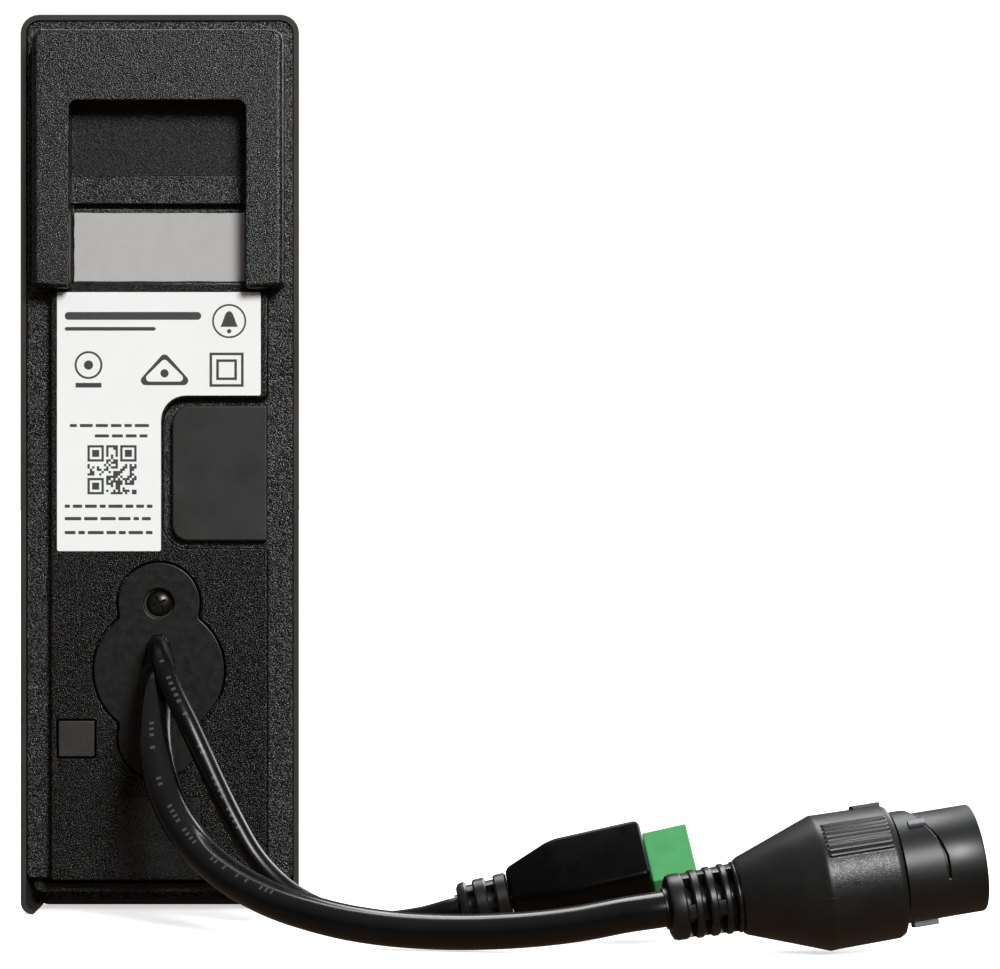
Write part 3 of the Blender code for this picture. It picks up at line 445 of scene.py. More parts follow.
def lathe_shape(rows_of, steps, ring=False, across=Matrix.Identity(4)):
    """A solid as a bmesh, from the (radius, height) points that rows_of gives for each angle.

    Angles are in degrees about local Z. Points on the axis are welded into one.
    """
    shape = bmesh.new()
    columns = []
    for step in range(steps):
        angle = TURN * step / steps
        column = []
        for radius, height in rows_of(math.degrees(angle)):
            x, y = radius * math.cos(angle), radius * math.sin(angle)
            column.append(shape.verts.new((x * MM, y * MM, height * MM)))
        columns.append(column)
    rows = len(columns[0])
    for step in range(steps):
        column, after = columns[step], columns[(step + 1) % steps]
        for row in range(rows if ring else rows - 1):
            below = (row + 1) % rows
            shape.faces.new((column[row], column[below], after[below], after[row]))
    bmesh.ops.remove_doubles(shape, verts=shape.verts, dist=1e-7)
    bmesh.ops.recalc_face_normals(shape, faces=shape.faces)
    bmesh.ops.transform(shape, matrix=across, verts=shape.verts)
    return shape


def turned_shape(profile, steps, ring=False, across=Matrix.Identity(4)):
    """A turned solid as a bmesh, from (radius, height) points, with heights along local Z."""
    return lathe_shape(lambda angle: profile, steps, ring, across)


def turned(name, profile, across, steps, finish, node, ring=False, body="housing"):
    return place(name, turned_shape(profile, steps, ring, across), finish, node, body)


def block_shape(low, high, across=Matrix.Identity(4)):
    """A box between two corners, as a bmesh."""
    shape = bmesh.new()
    bmesh.ops.create_cube(shape, size=1)
    size = [(top - bottom) * MM for bottom, top in zip(low, high)]
    middle = [(top + bottom) / 2 * MM for bottom, top in zip(low, high)]
    bmesh.ops.scale(shape, vec=size, verts=shape.verts)
    bmesh.ops.translate(shape, vec=middle, verts=shape.verts)
    bmesh.ops.transform(shape, matrix=across, verts=shape.verts)
    return shape


def ring_sector(inner, outer, low, high, start, end, steps=24):
    """A sector of a ring as a bmesh: radii, heights along Z, and angles in degrees."""
    shape = bmesh.new()
    rows = []
    for step in range(steps + 1):
        angle = math.radians(start + (end - start) * step / steps)
        aside = Vector((math.cos(angle), math.sin(angle), 0))
        rows.append(
            [
                shape.verts.new((aside * radius + Vector((0, 0, height))) * MM)
                for radius, height in ((inner, low), (outer, low), (outer, high), (inner, high))
            ]
        )
    shape.faces.new(rows[0])
    shape.faces.new(rows[-1])
    for row, after in zip(rows, rows[1:]):
        for index in range(4):
            nearby = (index + 1) % 4
            shape.faces.new((row[index], row[nearby], after[nearby], after[index]))
    bmesh.ops.recalc_face_normals(shape, faces=shape.faces)
    return shape


def cut(shape, cutters):
    """The bmesh left when the cutters, also bmeshes, are taken from a solid."""
    obj = add_object("solid", mesh_of(shape))
    tools = [add_object("cutter", mesh_of(cutter)) for cutter in cutters]
    for tool in tools:
        modifier = obj.modifiers.new("cut", "BOOLEAN")
        modifier.operation = "DIFFERENCE"
        modifier.object = tool
    bpy.context.view_layer.update()
    graph = bpy.context.evaluated_depsgraph_get()
    result = bpy.data.meshes.new_from_object(obj.evaluated_get(graph))
    for used in (obj, *tools):
        bpy.data.objects.remove(used)
    return shape_of(result)


def facing(x, z, way="back"):
    """A turned piece's frame on the housing: heights run along +Y for the back, -Y for the front."""
    lean = -math.pi / 2 if way == "back" else math.pi / 2
    return Matrix.Translation((x * MM, 0, z * MM)) @ Matrix.Rotation(lean, 4, "X")


def direction(tilt, turn):
    """The way a cable end points: away from the housing (-X), turned to the front, and up."""
    flat = math.cos(tilt)
    return Vector((-flat * math.cos(turn), -flat * math.sin(turn), math.sin(tilt)))


def end_frame(at, tilt, turn, roll):
    """A cable end's frame: local Z runs along it, and local Y is up before the roll."""
    along = direction(tilt, turn)
    side = Vector((0, 0, 1)).cross(along).normalized()
    up = along.cross(side)
    turned_axes = Matrix((side, up, along)).transposed() @ Matrix.Rotation(roll, 3, "Z")
    return Matrix.Translation(Vector(at) * MM) @ turned_axes.to_4x4()


COUPLER = end_frame(COUPLER_AT, COUPLER_TILT, COUPLER_TURN, 0)
TERMINAL = end_frame(TERMINAL_AT, TERMINAL_TILT, 0, TERMINAL_ROLL)


# Materials -------------------------------------------------------------------------------------


def set_input(tree, socket, value):
    """Links a socket to another one, or gives it a value."""
    if isinstance(value, bpy.types.NodeSocket):
        tree.links.new(value, socket)
    else:
        socket.default_value = value


def add_node(tree, kind, settings=(), **inputs):
    """A shader node with its inputs as values or sockets. An underscore stands for a space."""
    node = tree.nodes.new(kind)
    for name, value in dict(settings).items():
        setattr(node, name, value)
    for name, value in inputs.items():
        set_input(tree, node.inputs[name.replace("_", " ")], value)
    return node


class Finish:
    """A Principled material with helpers for noise, ramps and bumps in millimetres."""

    def __init__(self, name, colour, roughness, metallic=0.0, **sockets):
        self.material = bpy.data.materials.new(name)
        self.material.use_nodes = True
        self.tree = self.material.node_tree
        self.shader = self.tree.nodes["Principled BSDF"]
        self.drive(Base_Color=(*colour, 1), Roughness=roughness, Metallic=metallic, **sockets)
        self.position = add_node(self.tree, "ShaderNodeTexCoord").outputs["Object"]
        self.last_bump = None

    def drive(self, **sockets):
        """Gives the shader's sockets values, or links them."""
        for name, value in sockets.items():
            set_input(self.tree, self.shader.inputs[name.replace("_", " ")], value)

    def noise(self, size, detail, roughness=0.6):
        """Noise with features about as large as the size, from 0 to 1."""
        inputs = {"Scale": 1 / (size * MM), "Detail": detail, "Roughness": roughness}
        return add_node(self.tree, "ShaderNodeTexNoise", Vector=self.position, **inputs).outputs["Fac"]

    def cells(self, size):
        """A regular grid of cells as large as the size: 0 in a cell's middle."""
        inputs = {"Scale": 1 / (size * MM), "Randomness": 0}
        node = add_node(self.tree, "ShaderNodeTexVoronoi", Vector=self.position, **inputs)
        return node.outputs["Distance"]

    def rings_round(self, x, z, radius):
        """The distance from an axis along Y at x and z: 1 on the axis and 0 at the radius."""
        scale = 1 / (radius * MM)
        inputs = {"Scale": (scale, 0, scale), "Location": (-x / radius, 0, -z / radius)}
        mapping = add_node(self.tree, "ShaderNodeMapping", Vector=self.position, **inputs)
        settings = {"gradient_type": "SPHERICAL"}
        vector = mapping.outputs["Vector"]
        return add_node(self.tree, "ShaderNodeTexGradient", settings, Vector=vector).outputs["Fac"]

    def maths(self, operation, first, second=0.0):
        """The result of a maths node, whose two inputs are sockets or numbers."""
        node = add_node(self.tree, "ShaderNodeMath", {"operation": operation})
        for socket, value in zip(node.inputs, (first, second)):
            set_input(self.tree, socket, value)
        return node.outputs["Value"]

    def dashes(self, count, width, middle, reach):
        """A row of short dashes along a cable, some of them left out: 1 on a dash, 0 off it.

        The count is that of the whole cable, and the others are shares: of the way round it for
        the row's width and middle, and of its length for where the row starts and ends.
        """
        own_map = add_node(self.tree, "ShaderNodeUVMap", {"uv_map": "UVMap"})
        parts = add_node(self.tree, "ShaderNodeSeparateXYZ", Vector=own_map.outputs["UV"])
        along, aside = parts.outputs["X"], parts.outputs["Y"]
        step = self.maths("MULTIPLY", along, count)
        number = self.maths("FLOOR", step)
        settings = {"noise_dimensions": "1D"}
        chance = add_node(self.tree, "ShaderNodeTexWhiteNoise", settings, W=number)
        from_middle = self.maths("ABSOLUTE", self.maths("SUBTRACT", aside, middle))
        dash = self.maths("LESS_THAN", self.maths("FRACT", step), DASH_SHARE)
        for test in (
            self.maths("GREATER_THAN", chance.outputs["Value"], DASH_LEFT_OUT),
            self.maths("LESS_THAN", from_middle, width / 2),
            self.maths("GREATER_THAN", along, reach[0]),
            self.maths("LESS_THAN", along, reach[1]),
        ):
            dash = self.maths("MULTIPLY", dash, test)
        return dash

    def print_over(self, mask, ink):
        """Paints the ink over the base colour that is there, wherever the mask is 1."""
        under = self.shader.inputs["Base Color"].links[0].from_socket
        inputs = {"Fac": mask, "Color1": under, "Color2": (*ink, 1)}
        self.drive(Base_Color=add_node(self.tree, "ShaderNodeMixRGB", **inputs).outputs["Color"])

    def spread(self, socket, source, low, high, at=(0.3, 0.7)):
        """Drives a socket from low to high as the source rises between two of its levels."""
        inputs = {"From Min": at[0], "From Max": at[1], "To Min": low, "To Max": high}
        mapped = add_node(self.tree, "ShaderNodeMapRange", Value=source, **inputs)
        self.drive(**{socket: mapped.outputs["Result"]})

    def colour_between(self, source, first, second, at=(0.3, 0.7)):
        """Paints the base colour from one colour to another as the source rises."""
        node = add_node(self.tree, "ShaderNodeValToRGB", Fac=source)
        for element, level, colour in zip(node.color_ramp.elements, at, (first, second)):
            element.position = level
            element.color = (*colour, 1)
        self.drive(Base_Color=node.outputs["Color"])
        return node.color_ramp

    def bump(self, height, depth):
        """Raises the surface by the height times the depth, on top of any earlier bump."""
        inputs = {"Height": height, "Distance": depth * MM, "Strength": 1}
        if self.last_bump:
            inputs["Normal"] = self.last_bump
        self.last_bump = add_node(self.tree, "ShaderNodeBump", **inputs).outputs["Normal"]
        self.drive(Normal=self.last_bump)


def eroded(name, grain, depth, dark, light, roughness, specular, glints=0.0):
    """Black plastic from a spark-eroded mould: a fine grain whose flanks catch the light.

    Glints are how far the specular level swings either way from one grain to the next.
    """
    finish = Finish(name, dark, roughness, Specular_IOR_Level=specular)
    fine = finish.noise(grain, 1.5, 0.5)
    coarse = finish.noise(grain * 5, 2.0, 0.5)
    finish.colour_between(fine, dark, light, at=(0.4, 0.7))
    finish.spread("Roughness", coarse, roughness - 0.05, roughness + 0.05)
    if glints:
        swing = (specular - glints, specular + glints)
        finish.spread("Specular IOR Level", finish.noise(grain, 1.0), *swing, at=(0.45, 0.64))
    finish.bump(coarse, depth * 0.5)
    finish.bump(fine, depth)
    return finish.material


def clouded(name, dark, light, roughness, cloud, fine, sheen=0.0, swell=0.0, metallic=0.0, **sockets):
    """A finish that drifts from dark to light in clouds, with a fine grain over it.

    A cloud is the size and the detail of its noise. The fine grain has its height in front of
    these. Sheen is how far the roughness swings with the clouds, and swell is their height.
    """
    depth, *grain = fine
    finish = Finish(name, dark, roughness, metallic, **sockets)
    drift = finish.noise(*cloud)
    finish.colour_between(drift, dark, light)
    if sheen:
        finish.spread("Roughness", drift, roughness - sheen, roughness + sheen)
    if swell:
        finish.bump(drift, swell)
    if depth:
        finish.bump(finish.noise(*grain), depth)
    return finish


def satin(name, dark, light, roughness, depth=0.004):
    """Smooth moulded plastic with a slightly uneven sheen."""
    return clouded(name, dark, light, roughness, (9, 4), (depth, 0.12, 2), sheen=0.05).material


def simple(name, colour, roughness, metallic=0.0, grain=0.3, depth=0.006, spread=0.15, **sockets):
    """A plain finish with a little unevenness in colour and surface."""
    dark = [value * (1 - spread) for value in colour]
    light = [min(value * (1 + spread), 1.0) for value in colour]
    fine = (depth, grain, 2)
    return clouded(name, dark, light, roughness, (6, 3), fine, metallic=metallic, **sockets).material


def cable_jacket(name, roughness, specular):
    """Glossy black jacket, a little wavy."""
    return clouded(
        name,
        (0.0015, 0.0015, 0.0016),
        (0.0025, 0.0025, 0.0027),
        roughness,
        cloud=(7, 2),
        fine=(0.0004, 0.3, 3),
        sheen=0.03,
        swell=0.015,
        Specular_IOR_Level=specular,
    )


def satin_metal():
    finish = Finish("painted_satin_metal", (0.045, 0.043, 0.04), 0.42, 0.55)
    flake = finish.noise(0.09, 2)
    finish.colour_between(finish.noise(14, 3), (0.04, 0.038, 0.036), (0.055, 0.052, 0.05))
    finish.spread("Roughness", flake, 0.36, 0.5)
    finish.bump(flake, 0.006)
    return finish.material


def painted_lens_reflections():
    """Deep lens glass: a black pupil, and rings of violet and blue-green round it, painted reflections
    of its coating.
    """
    finish = Finish("lens_glass_painted_reflections", (0.005, 0.004, 0.01), 0.03, Coat_Weight=1.0)
    # The coloured rings are painted reflections of the lens coating, set in the base colour.
    rings = finish.rings_round(0, LENS_Z, 5.4)
    ramp = finish.colour_between(rings, (0.004, 0.004, 0.006), (0.0015, 0.0015, 0.002), (0.02, 0.7))
    for at, colour in (
        (0.22, (0.012, 0.008, 0.03)),
        (0.32, (0.003, 0.012, 0.016)),
        (0.5, (0.01, 0.004, 0.02)),
    ):
        ramp.elements.new(at).color = (*colour, 1)
    return finish.material


def punched_steel():
    """Black sheet steel with a grid of fine punched holes, painted as dark dots of shade and sunk by a
    bump.
    """
    finish = Finish("punched_black_steel", grey(0.03), 0.4, 0.8)
    cells = finish.cells(0.8)
    # The holes are painted shade: dark dots in the colour, where the mesh would show its dark inside.
    finish.colour_between(cells, grey(0.001), grey(0.05), at=(0.3, 0.36))
    finish.bump(cells, 0.15)
    return finish.material


def grey(value):
    return (value, value, value)


METAL = satin_metal()
ERODED = eroded(
    "spark_eroded_plastic", 0.22, 0.1, grey(0.0015), (0.007, 0.007, 0.0074), 0.35, 0.68, 0.54
)
# The raised panel's plastic: a darker copy of the eroded plastic, painted shade where the light falls
# off lower down.
ERODED_PAINTED_SHADE = eroded("spark_eroded_panel_painted_shade", 0.22, 0.1, grey(0.001), grey(0.003), 0.34, 0.37, 0.35)
ERODED_FINE = eroded(
    "fine_eroded_plastic", 0.2, 0.06, grey(0.003), (0.007, 0.007, 0.0076), 0.4, 0.42, 0.23
)
PLATE_SKIN = eroded("fine_plate_plastic", 0.3, 0.02, grey(0.003), grey(0.005), 0.38, 0.44)
OVERMOULD = eroded("soft_overmould", 0.5, 0.003, grey(0.001), grey(0.002), 0.3, 0.08)
GRIP_GRAIN = eroded(
    "grained_grip_plastic", 0.26, 0.03, grey(0.01), (0.02, 0.02, 0.021), 0.36, 0.42, 0.12
)
# The lugs are a paler grey than the rest of the coupler.
LUG = satin("pale_grey_lug_plastic", (0.1, 0.102, 0.108), (0.15, 0.155, 0.165), 0.36)
SATIN = satin("satin_black_plastic", grey(0.012), grey(0.016), 0.45)
DULL = satin("dull_black_plastic", grey(0.004), grey(0.007), 0.4, 0.008)
RUBBER = clouded(
    "matte_moulded_rubber",
    grey(0.0032),
    grey(0.0052),
    0.34,
    cloud=(5, 3),
    fine=(0.004, 0.25, 3),
    sheen=0.06,
).material
FILM = clouded(
    "white_label_film",
    (0.855, 0.872, 0.868),
    (0.885, 0.902, 0.898),
    0.42,
    cloud=(12, 3),
    fine=(0.003, 0.2, 2),
).material
INK = clouded("label_ink", (0.02, 0.02, 0.022), (0.06, 0.06, 0.062), 0.5, (0.15, 2), [0]).material
PAD = clouded(
    "grey_silicone_pad",
    (0.425, 0.42, 0.41),
    (0.46, 0.455, 0.445),
    0.735,
    cloud=(3.5, 4),
    fine=(0.02, 0.35, 3),
    sheen=0.115,
    swell=0.06,
).material
GREEN = clouded(
    "green_terminal_plastic",
    (0.055, 0.29, 0.092),
    (0.068, 0.34, 0.112),
    0.42,
    cloud=(4, 3),
    fine=(0.008, 0.25, 2),
).material
GLOSS = simple("polished_black_acrylic", (0.004, 0.004, 0.005), 0.05, depth=0.0004, Coat_Weight=0.5)
LENS = painted_lens_reflections()
LAMP = simple("infrared_filter", (0.012, 0.003, 0.004), 0.06, depth=0.0002, Coat_Weight=1.0)
PUNCHED = punched_steel()
MARK = simple("pale_button_mark", grey(0.42), 0.45)
BLACK_STEEL = simple("blackened_steel", (0.035, 0.034, 0.033), 0.3, 0.85, depth=0.004)
DIFFUSER = simple("frosted_diffuser", (0.72, 0.74, 0.76), 0.4, spread=0.04)
BROWN = simple(
    "brown_grey_plunger", (0.0115, 0.0085, 0.0068), 0.5, grain=0.22, depth=0.07, spread=0.3
)


# Camera, floor and light -----------------------------------------------------------------------


def lamp_from(name, right, above, side, power, spread):
    """A soft, far light: degrees right of and above straight on, seen from the back or front."""
    right, above = math.radians(right), math.radians(above)
    towards = Vector((-math.sin(right) * math.cos(above), math.cos(right) * math.cos(above), 0))
    towards.z = math.sin(above)
    if side == "front":
        towards.x, towards.y = -towards.x, -towards.y
    light = bpy.data.lights.new(name, "SUN")
    light.energy = power
    light.angle = math.radians(spread)
    lamp = add_object(name, light)
    lamp.location = towards * 1.5
    lamp.rotation_euler = (-towards).to_track_quat("-Z", "Y").to_euler()


def make_studio():
    """A white room to look at. As light it is a dim sky: warm below, darkest at eye level."""
    world = bpy.data.worlds.new("studio")
    world.use_nodes = True
    tree = world.node_tree
    way = add_node(tree, "ShaderNodeTexCoord").outputs["Generated"]
    height = add_node(tree, "ShaderNodeSeparateXYZ", Vector=way).outputs["Z"]
    share = add_node(tree, "ShaderNodeMapRange", Value=height, From_Min=-1).outputs["Result"]
    sky = add_node(tree, "ShaderNodeValToRGB", Fac=share)
    sky.color_ramp.elements[0].color = (0.2, 0.12, 0.07, 1)
    sky.color_ramp.elements[1].color = (0.3, 0.3, 0.31, 1)
    sky.color_ramp.elements.new(0.52).color = (0.06, 0.058, 0.058, 1)
    dim = tree.nodes["Background"]
    set_input(tree, dim.inputs["Color"], sky.outputs["Color"])
    set_input(tree, dim.inputs["Strength"], 1.0)
    white = add_node(tree, "ShaderNodeBackground", Color=(1, 1, 1, 1), Strength=1.05)
    seen = add_node(tree, "ShaderNodeLightPath").outputs["Is Camera Ray"]
    mix = add_node(tree, "ShaderNodeMixShader", Fac=seen)
    tree.links.new(dim.outputs["Background"], mix.inputs[1])
    tree.links.new(white.outputs["Background"], mix.inputs[2])
    tree.links.new(mix.outputs["Shader"], tree.nodes["World Output"].inputs["Surface"])
    bpy.context.scene.world = world


def make_view():
    """The camera behind the doorbell, the pale floor, the sky and three soft lamps."""
    data = bpy.data.cameras.new("camera")
    data.lens = CAMERA_LENS
    data.sensor_width = SENSOR_WIDTH
    data.clip_start = 0.05
    data.clip_end = 60
    camera = add_object("camera", data)
    camera.location = Vector(CAMERA_AT) * MM
    camera.rotation_euler = (math.pi / 2, 0, math.pi)
    bpy.context.scene.camera = camera
    bpy.context.scene.view_settings.view_transform = "Standard"

    shape = bmesh.new()
    bmesh.ops.create_grid(shape, x_segments=2, y_segments=2, size=FLOOR_HALF)
    floor = add_object("floor", mesh_of(shape, "floor"))
    paint = Finish("pale_floor", grey(0.92), 0.8)
    paint.colour_between(paint.noise(40, 3), grey(0.91), grey(0.93))
    paint.drive(Emission_Color=(1, 1, 1, 1), Emission_Strength=0.6)
    floor.data.materials.append(paint.material)
    # The floor glows a little, which thins its shadows, but it throws no light on the object.
    floor.visible_diffuse = False
    floor.visible_glossy = False

    make_studio()
    lamp_from("key_light", KEY_RIGHT, KEY_ABOVE, "back", power=3.45, spread=20)
    lamp_from("top_light", 10, 66, "front", power=2.1, spread=34)
    lamp_from("front_light", -38, 26, "front", power=2.2, spread=40)


# Cables ----------------------------------------------------------------------------------------


def smooth_route(points, spacing):
    """Points every spacing millimetres along a Catmull-Rom curve through a route's points."""
    route = [Vector(point) for point in points]
    route = [2 * route[0] - route[1], *route, 2 * route[-1] - route[-2]]
    fine = []
    for index in range(1, len(route) - 2):
        a, b, c, d = route[index - 1 : index + 3]
        for step in range(16):
            t = step / 16
            square = 2 * b + (c - a) * t + (2 * a - 5 * b + 4 * c - d) * t**2
            fine.append(0.5 * (square + (3 * b - a - 3 * c + d) * t**3))
    fine.append(route[-2])
    lengths = [0.0]
    for before, after in zip(fine, fine[1:]):
        lengths.append(lengths[-1] + (after - before).length)
    count = round(lengths[-1] / spacing)
    result = []
    index = 0
    for step in range(count + 1):
        wanted = lengths[-1] * step / count
        while index < len(fine) - 2 and lengths[index + 1] < wanted:
            index += 1
        share = (wanted - lengths[index]) / (lengths[index + 1] - lengths[index])
        result.append(fine[index].lerp(fine[index + 1], min(share, 1.0)))
    return result


def cable(name, route, end, along, diameter, roughness, specular):
    """A cable along its route, with a row of dashes on it, and its length.

    It is straight for a stub where it enters the piece on its end.
    """
    points = smooth_route([*route, Vector(end) - 1.8 * along], 1.2)
    points.append(Vector(end) - 0.4 * along)
    curve = bpy.data.curves.new(name, "CURVE")
    curve.dimensions = "3D"
    curve.bevel_depth = diameter / 2 * MM
    curve.bevel_resolution = 8
    curve.use_fill_caps = True
    spline = curve.splines.new("POLY")
    spline.points.add(len(points) - 1)
    spline.use_smooth = True
    for point, at in zip(spline.points, points):
        point.co = (*(at * MM), 1)
    length = sum((after - before).length for before, after in zip(points, points[1:]))
    jacket = cable_jacket(name + "_print", roughness, specular)
    row_width = DASH_HIGH / (math.pi * diameter)
    dashes = jacket.dashes(length / DASH_STEP, row_width, DASH_ROUND, DASH_REACH)
    jacket.print_over(dashes, (0.06, 0.062, 0.068))
    curve.materials.append(jacket.material)
    return add_piece(name + "_jacket", curve, name, "housing"), length


# Back ------------------------------------------------------------------------------------------


def block_round(x, z):
    """How round the block's edges are: wide at its sides, tight at its top and in the pocket."""
    if abs(x) > BLOCK_HALF - 1.4:
        return 1.15
    return 0.25 if z > POCKET_TOP - 2 or abs(x) < POCKET_HALF + 0.5 else 0.6


def panel_round(x, z):
    """How round the panel's edges are: wide at its sides and its notch, tight at its openings."""
    if abs(x) > PANEL_HALF - 0.5:
        return 0.5
    return 0.4 if z > NOTCH_Z[0] - 1 else 0.15


def tamper_hole():
    x, z = TAMPER_AT
    return rectangle(3.8, z - 3.8, z + 3.8, 0.4, segments=3, middle=x)


def cover_base():
    """The side strips with every opening, and a shallow floor in two of them."""
    top = BLOCK_Z[1]
    base = moulded_shape(
        [
            rectangle(COVER_HALF + SEAM_FILL, COVER_Z[0], COVER_Z[1] + SEAM_TOP, 0.6, 2.4),
            rectangle(BLOCK_HALF - 1.4, top - 0.3, top + 0.2),
            rectangle(POCKET_HALF - 0.3, LEDGE_Z[0] - 0.95, LEDGE_Z[0] + 0.3),
            tamper_hole(),
            outlet_outline(0.6),
            circle(0, SCREW_Z, 1.5, 24),
            circle(*RESET_AT, 1.8, 24),
        ],
        4.2,
        Y_STRIP,
        0.12,
    )
    over_block = rectangle(BLOCK_HALF - 1, top - 1, top + 0.5)
    under_ledge = rectangle(POCKET_HALF, LEDGE_Z[0] - 1.2, LEDGE_Z[0] + 1)
    groove_floors = (
        prism_shape([over_block], 4.3, Y_STRIP - 0.8),
        prism_shape([under_ledge], 4.3, Y_STRIP - 1.9),
    )
    return base, groove_floors


def cover_panel():
    """The raised panel with its notch, and the floor of the faint rectangle in it."""
    low, high = PANEL_Z
    edge = outline(
        [
            (-PANEL_HALF, low, 0.6),
            (PANEL_HALF, low, 0.6),
            (PANEL_HALF, high, 0),
            (-PANEL_HALF, high, 0),
            (-PANEL_HALF, NOTCH_Z[1], 0.7),
            (NOTCH_X, NOTCH_Z[1], NOTCH_CORNER),
            (NOTCH_X, NOTCH_Z[0], NOTCH_CORNER),
            (-PANEL_HALF, NOTCH_Z[0], 0.7),
        ]
    )
    faint = rectangle(FAINT_HALF, *FAINT_Z, 0.6)
    outlines = [edge, plate_outline(0.35), tamper_hole(), faint]
    panel = moulded_shape(outlines, Y_STRIP - 1.5, Y_PANEL, panel_round)
    floor = rectangle(FAINT_HALF + 0.05, FAINT_Z[0] - 0.05, FAINT_Z[1] + 0.05, 0.6)
    return panel, prism_shape([floor], Y_STRIP - 1, Y_PANEL - FAINT_DEPTH)


def cover_block():
    """The block round the pocket, open at its foot, and the ledge across the pocket."""
    foot, top = BLOCK_Z
    edge = outline(
        [
            (-BLOCK_HALF, foot, 1.3),
            (-POCKET_HALF, foot, 0.7),
            (-POCKET_HALF, POCKET_TOP, 1.6),
            (POCKET_HALF, POCKET_TOP, 1.6),
            (POCKET_HALF, foot, 0.7),
            (BLOCK_HALF, foot, 1.3),
            (BLOCK_HALF, top, 2.0),
            (-BLOCK_HALF, top, 2.0),
        ]
    )
    block = moulded_shape([edge], Y_STRIP - 1.5, Y_BLOCK, block_round, 8)
    ledge = [rectangle(POCKET_HALF + 0.5, *LEDGE_Z)]
    return block, moulded_shape(ledge, Y_STRIP - 1, Y_STRIP + 0.6, 0.2)


def make_back_cover():
    """The textured cover, whose raised panel is smoother and darker, its darkness painted shade, and
    the pocket's own floor.
    """
    base, groove_floors = cover_base()
    panel, faint_floor = cover_panel()
    block, ledge = cover_block()
    shape = join_shapes(base, panel, block, faint_floor, *groove_floors, ledge)
    for face in shape.faces:
        at = face.calc_center_median() / MM
        on_panel = at.z < BLOCK_Z[0] + 1 and at.y > Y_STRIP + 0.2
        in_faint = on_panel and abs(at.x) < 1 and FAINT_Z[0] < at.z < FAINT_Z[1]
        # Panel faces take the darker copy of the plastic, painted shade; the faint rectangle's floor
        # takes the fine grain.
        face.material_index = 2 if in_faint and at.y < Y_PANEL - 0.1 else int(on_panel)
    cover = place("back_cover_shell", shape, ERODED, "back_cover", angle=40)
    for finish in (ERODED_PAINTED_SHADE, ERODED_FINE):
        cover.data.materials.append(finish)
    floor = rectangle(POCKET_HALF - 0.1, LEDGE_Z[1] + 0.1, POCKET_TOP - 0.1, 0.2, 1.5)
    slab("pocket_floor", [floor], Y_STRIP - 0.5, Y_STRIP + 0.05, 0.02, ERODED_FINE)


def make_pad():
    """The soft pad at the foot of the pocket, with slightly ragged cut edges."""
    chance = random.Random(7)
    (left, _, low), (right, _, high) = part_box("thermal_pad")
    left, low, right, high = left / MM, low / MM, right / MM, high / MM
    corners = [(left, low), (right, low), (right, high), (left, high)]
    points = []
    steps = 60
    for start, end in zip(corners, corners[1:] + corners[:1]):
        for step in range(steps):
            share = step / steps
            wander = 0.03 * math.sin(3.1 * share * TURN + start[0]) + chance.uniform(-0.025, 0.025)
            inward = Vector((start[1] - end[1], end[0] - start[0])).normalized() * (0.06 + wander)
            at = Vector(start).lerp(Vector(end), share) + inward
            points.append((at.x, at.y))
    y = Y_STRIP + 0.1
    slab("silicone_pad", [points], y, y + 1.1, 0.12, PAD, "thermal_pad")


def printed(marks, name, y, finish, body="housing"):
    """Flat printed marks, just proud of a surface.

    A mark is a list of outlines in X and Z, the later ones being holes.
    """
    shapes = [prism_shape(mark, y - PRINT, y + PRINT) for mark in marks]
    return place(name, join_shapes(*shapes), finish, body=body, angle=35)


def bar(middle, z, width, height, radius=0.0):
    """A mark: a bar round a middle."""
    half = height / 2
    return [rectangle(width / 2, z - half, z + half, radius, segments=3, middle=middle)]


def square_ring(x, z, side, width):
    outer, inner = side / 2, side / 2 - width
    return [
        rectangle(outer, z - outer, z + outer, middle=x),
        rectangle(inner, z - inner, z + inner, middle=x),
    ]


def bell_outline(x, z, size, steps=12):
    """A plain bell: a dome that flares out to its lip."""
    half = []
    for step in range(steps + 1):
        share = step / steps
        width = 0.5 * math.sqrt(1 - (1 - share) ** 2) * (0.72 + 0.28 * share**3)
        half.append((size * width * 0.92, size * (0.5 - 0.82 * share)))
    half.append((size * 0.5, -size * 0.4))
    whole = [*half, *[(-across, up) for across, up in reversed(half[1:])]]
    return [(x + across, z + up) for across, up in whole]


def make_label():
    """The white label with generic print: a bell mark, plain pictograms, bars and a dot field."""
    label_y = Y_PANEL + 0.25
    foot, top = LABEL_Z
    label = outline(
        [
            (LABEL_HALF, foot, LABEL_CORNER),
            (LABEL_HALF, top, LABEL_CORNER),
            (-LABEL_HALF, top, LABEL_CORNER),
            (-LABEL_HALF, NOTCH_Z[1] + 0.5, LABEL_CORNER),
            (NOTCH_X + 0.4, NOTCH_Z[1] + 0.5, NOTCH_CORNER),
            (NOTCH_X + 0.4, foot, LABEL_CORNER),
        ]
    )
    slab("label_film", [label], Y_PANEL + 0.05, label_y, 0.04, FILM, "rating_label")
    marks = [*label_head(), *label_pictures(), *label_rows(), *label_cells()]
    printed(marks, "label_print", label_y, INK)


def label_head():
    """A bell in a ring beside two plain bars."""
    return [
        [circle(-13.6, 115.0, 3.3, 48), circle(-13.6, 115.0, 2.95, 48)],
        [bell_outline(-13.6, 115.25, 3.4)],
        [circle(-13.6, 113.05, 0.42, 16)],
        bar(5.0, 116.0, 26.4, 1.5, 0.7),
        bar(9.4, 113.5, 17.6, 0.7, 0.34),
    ]


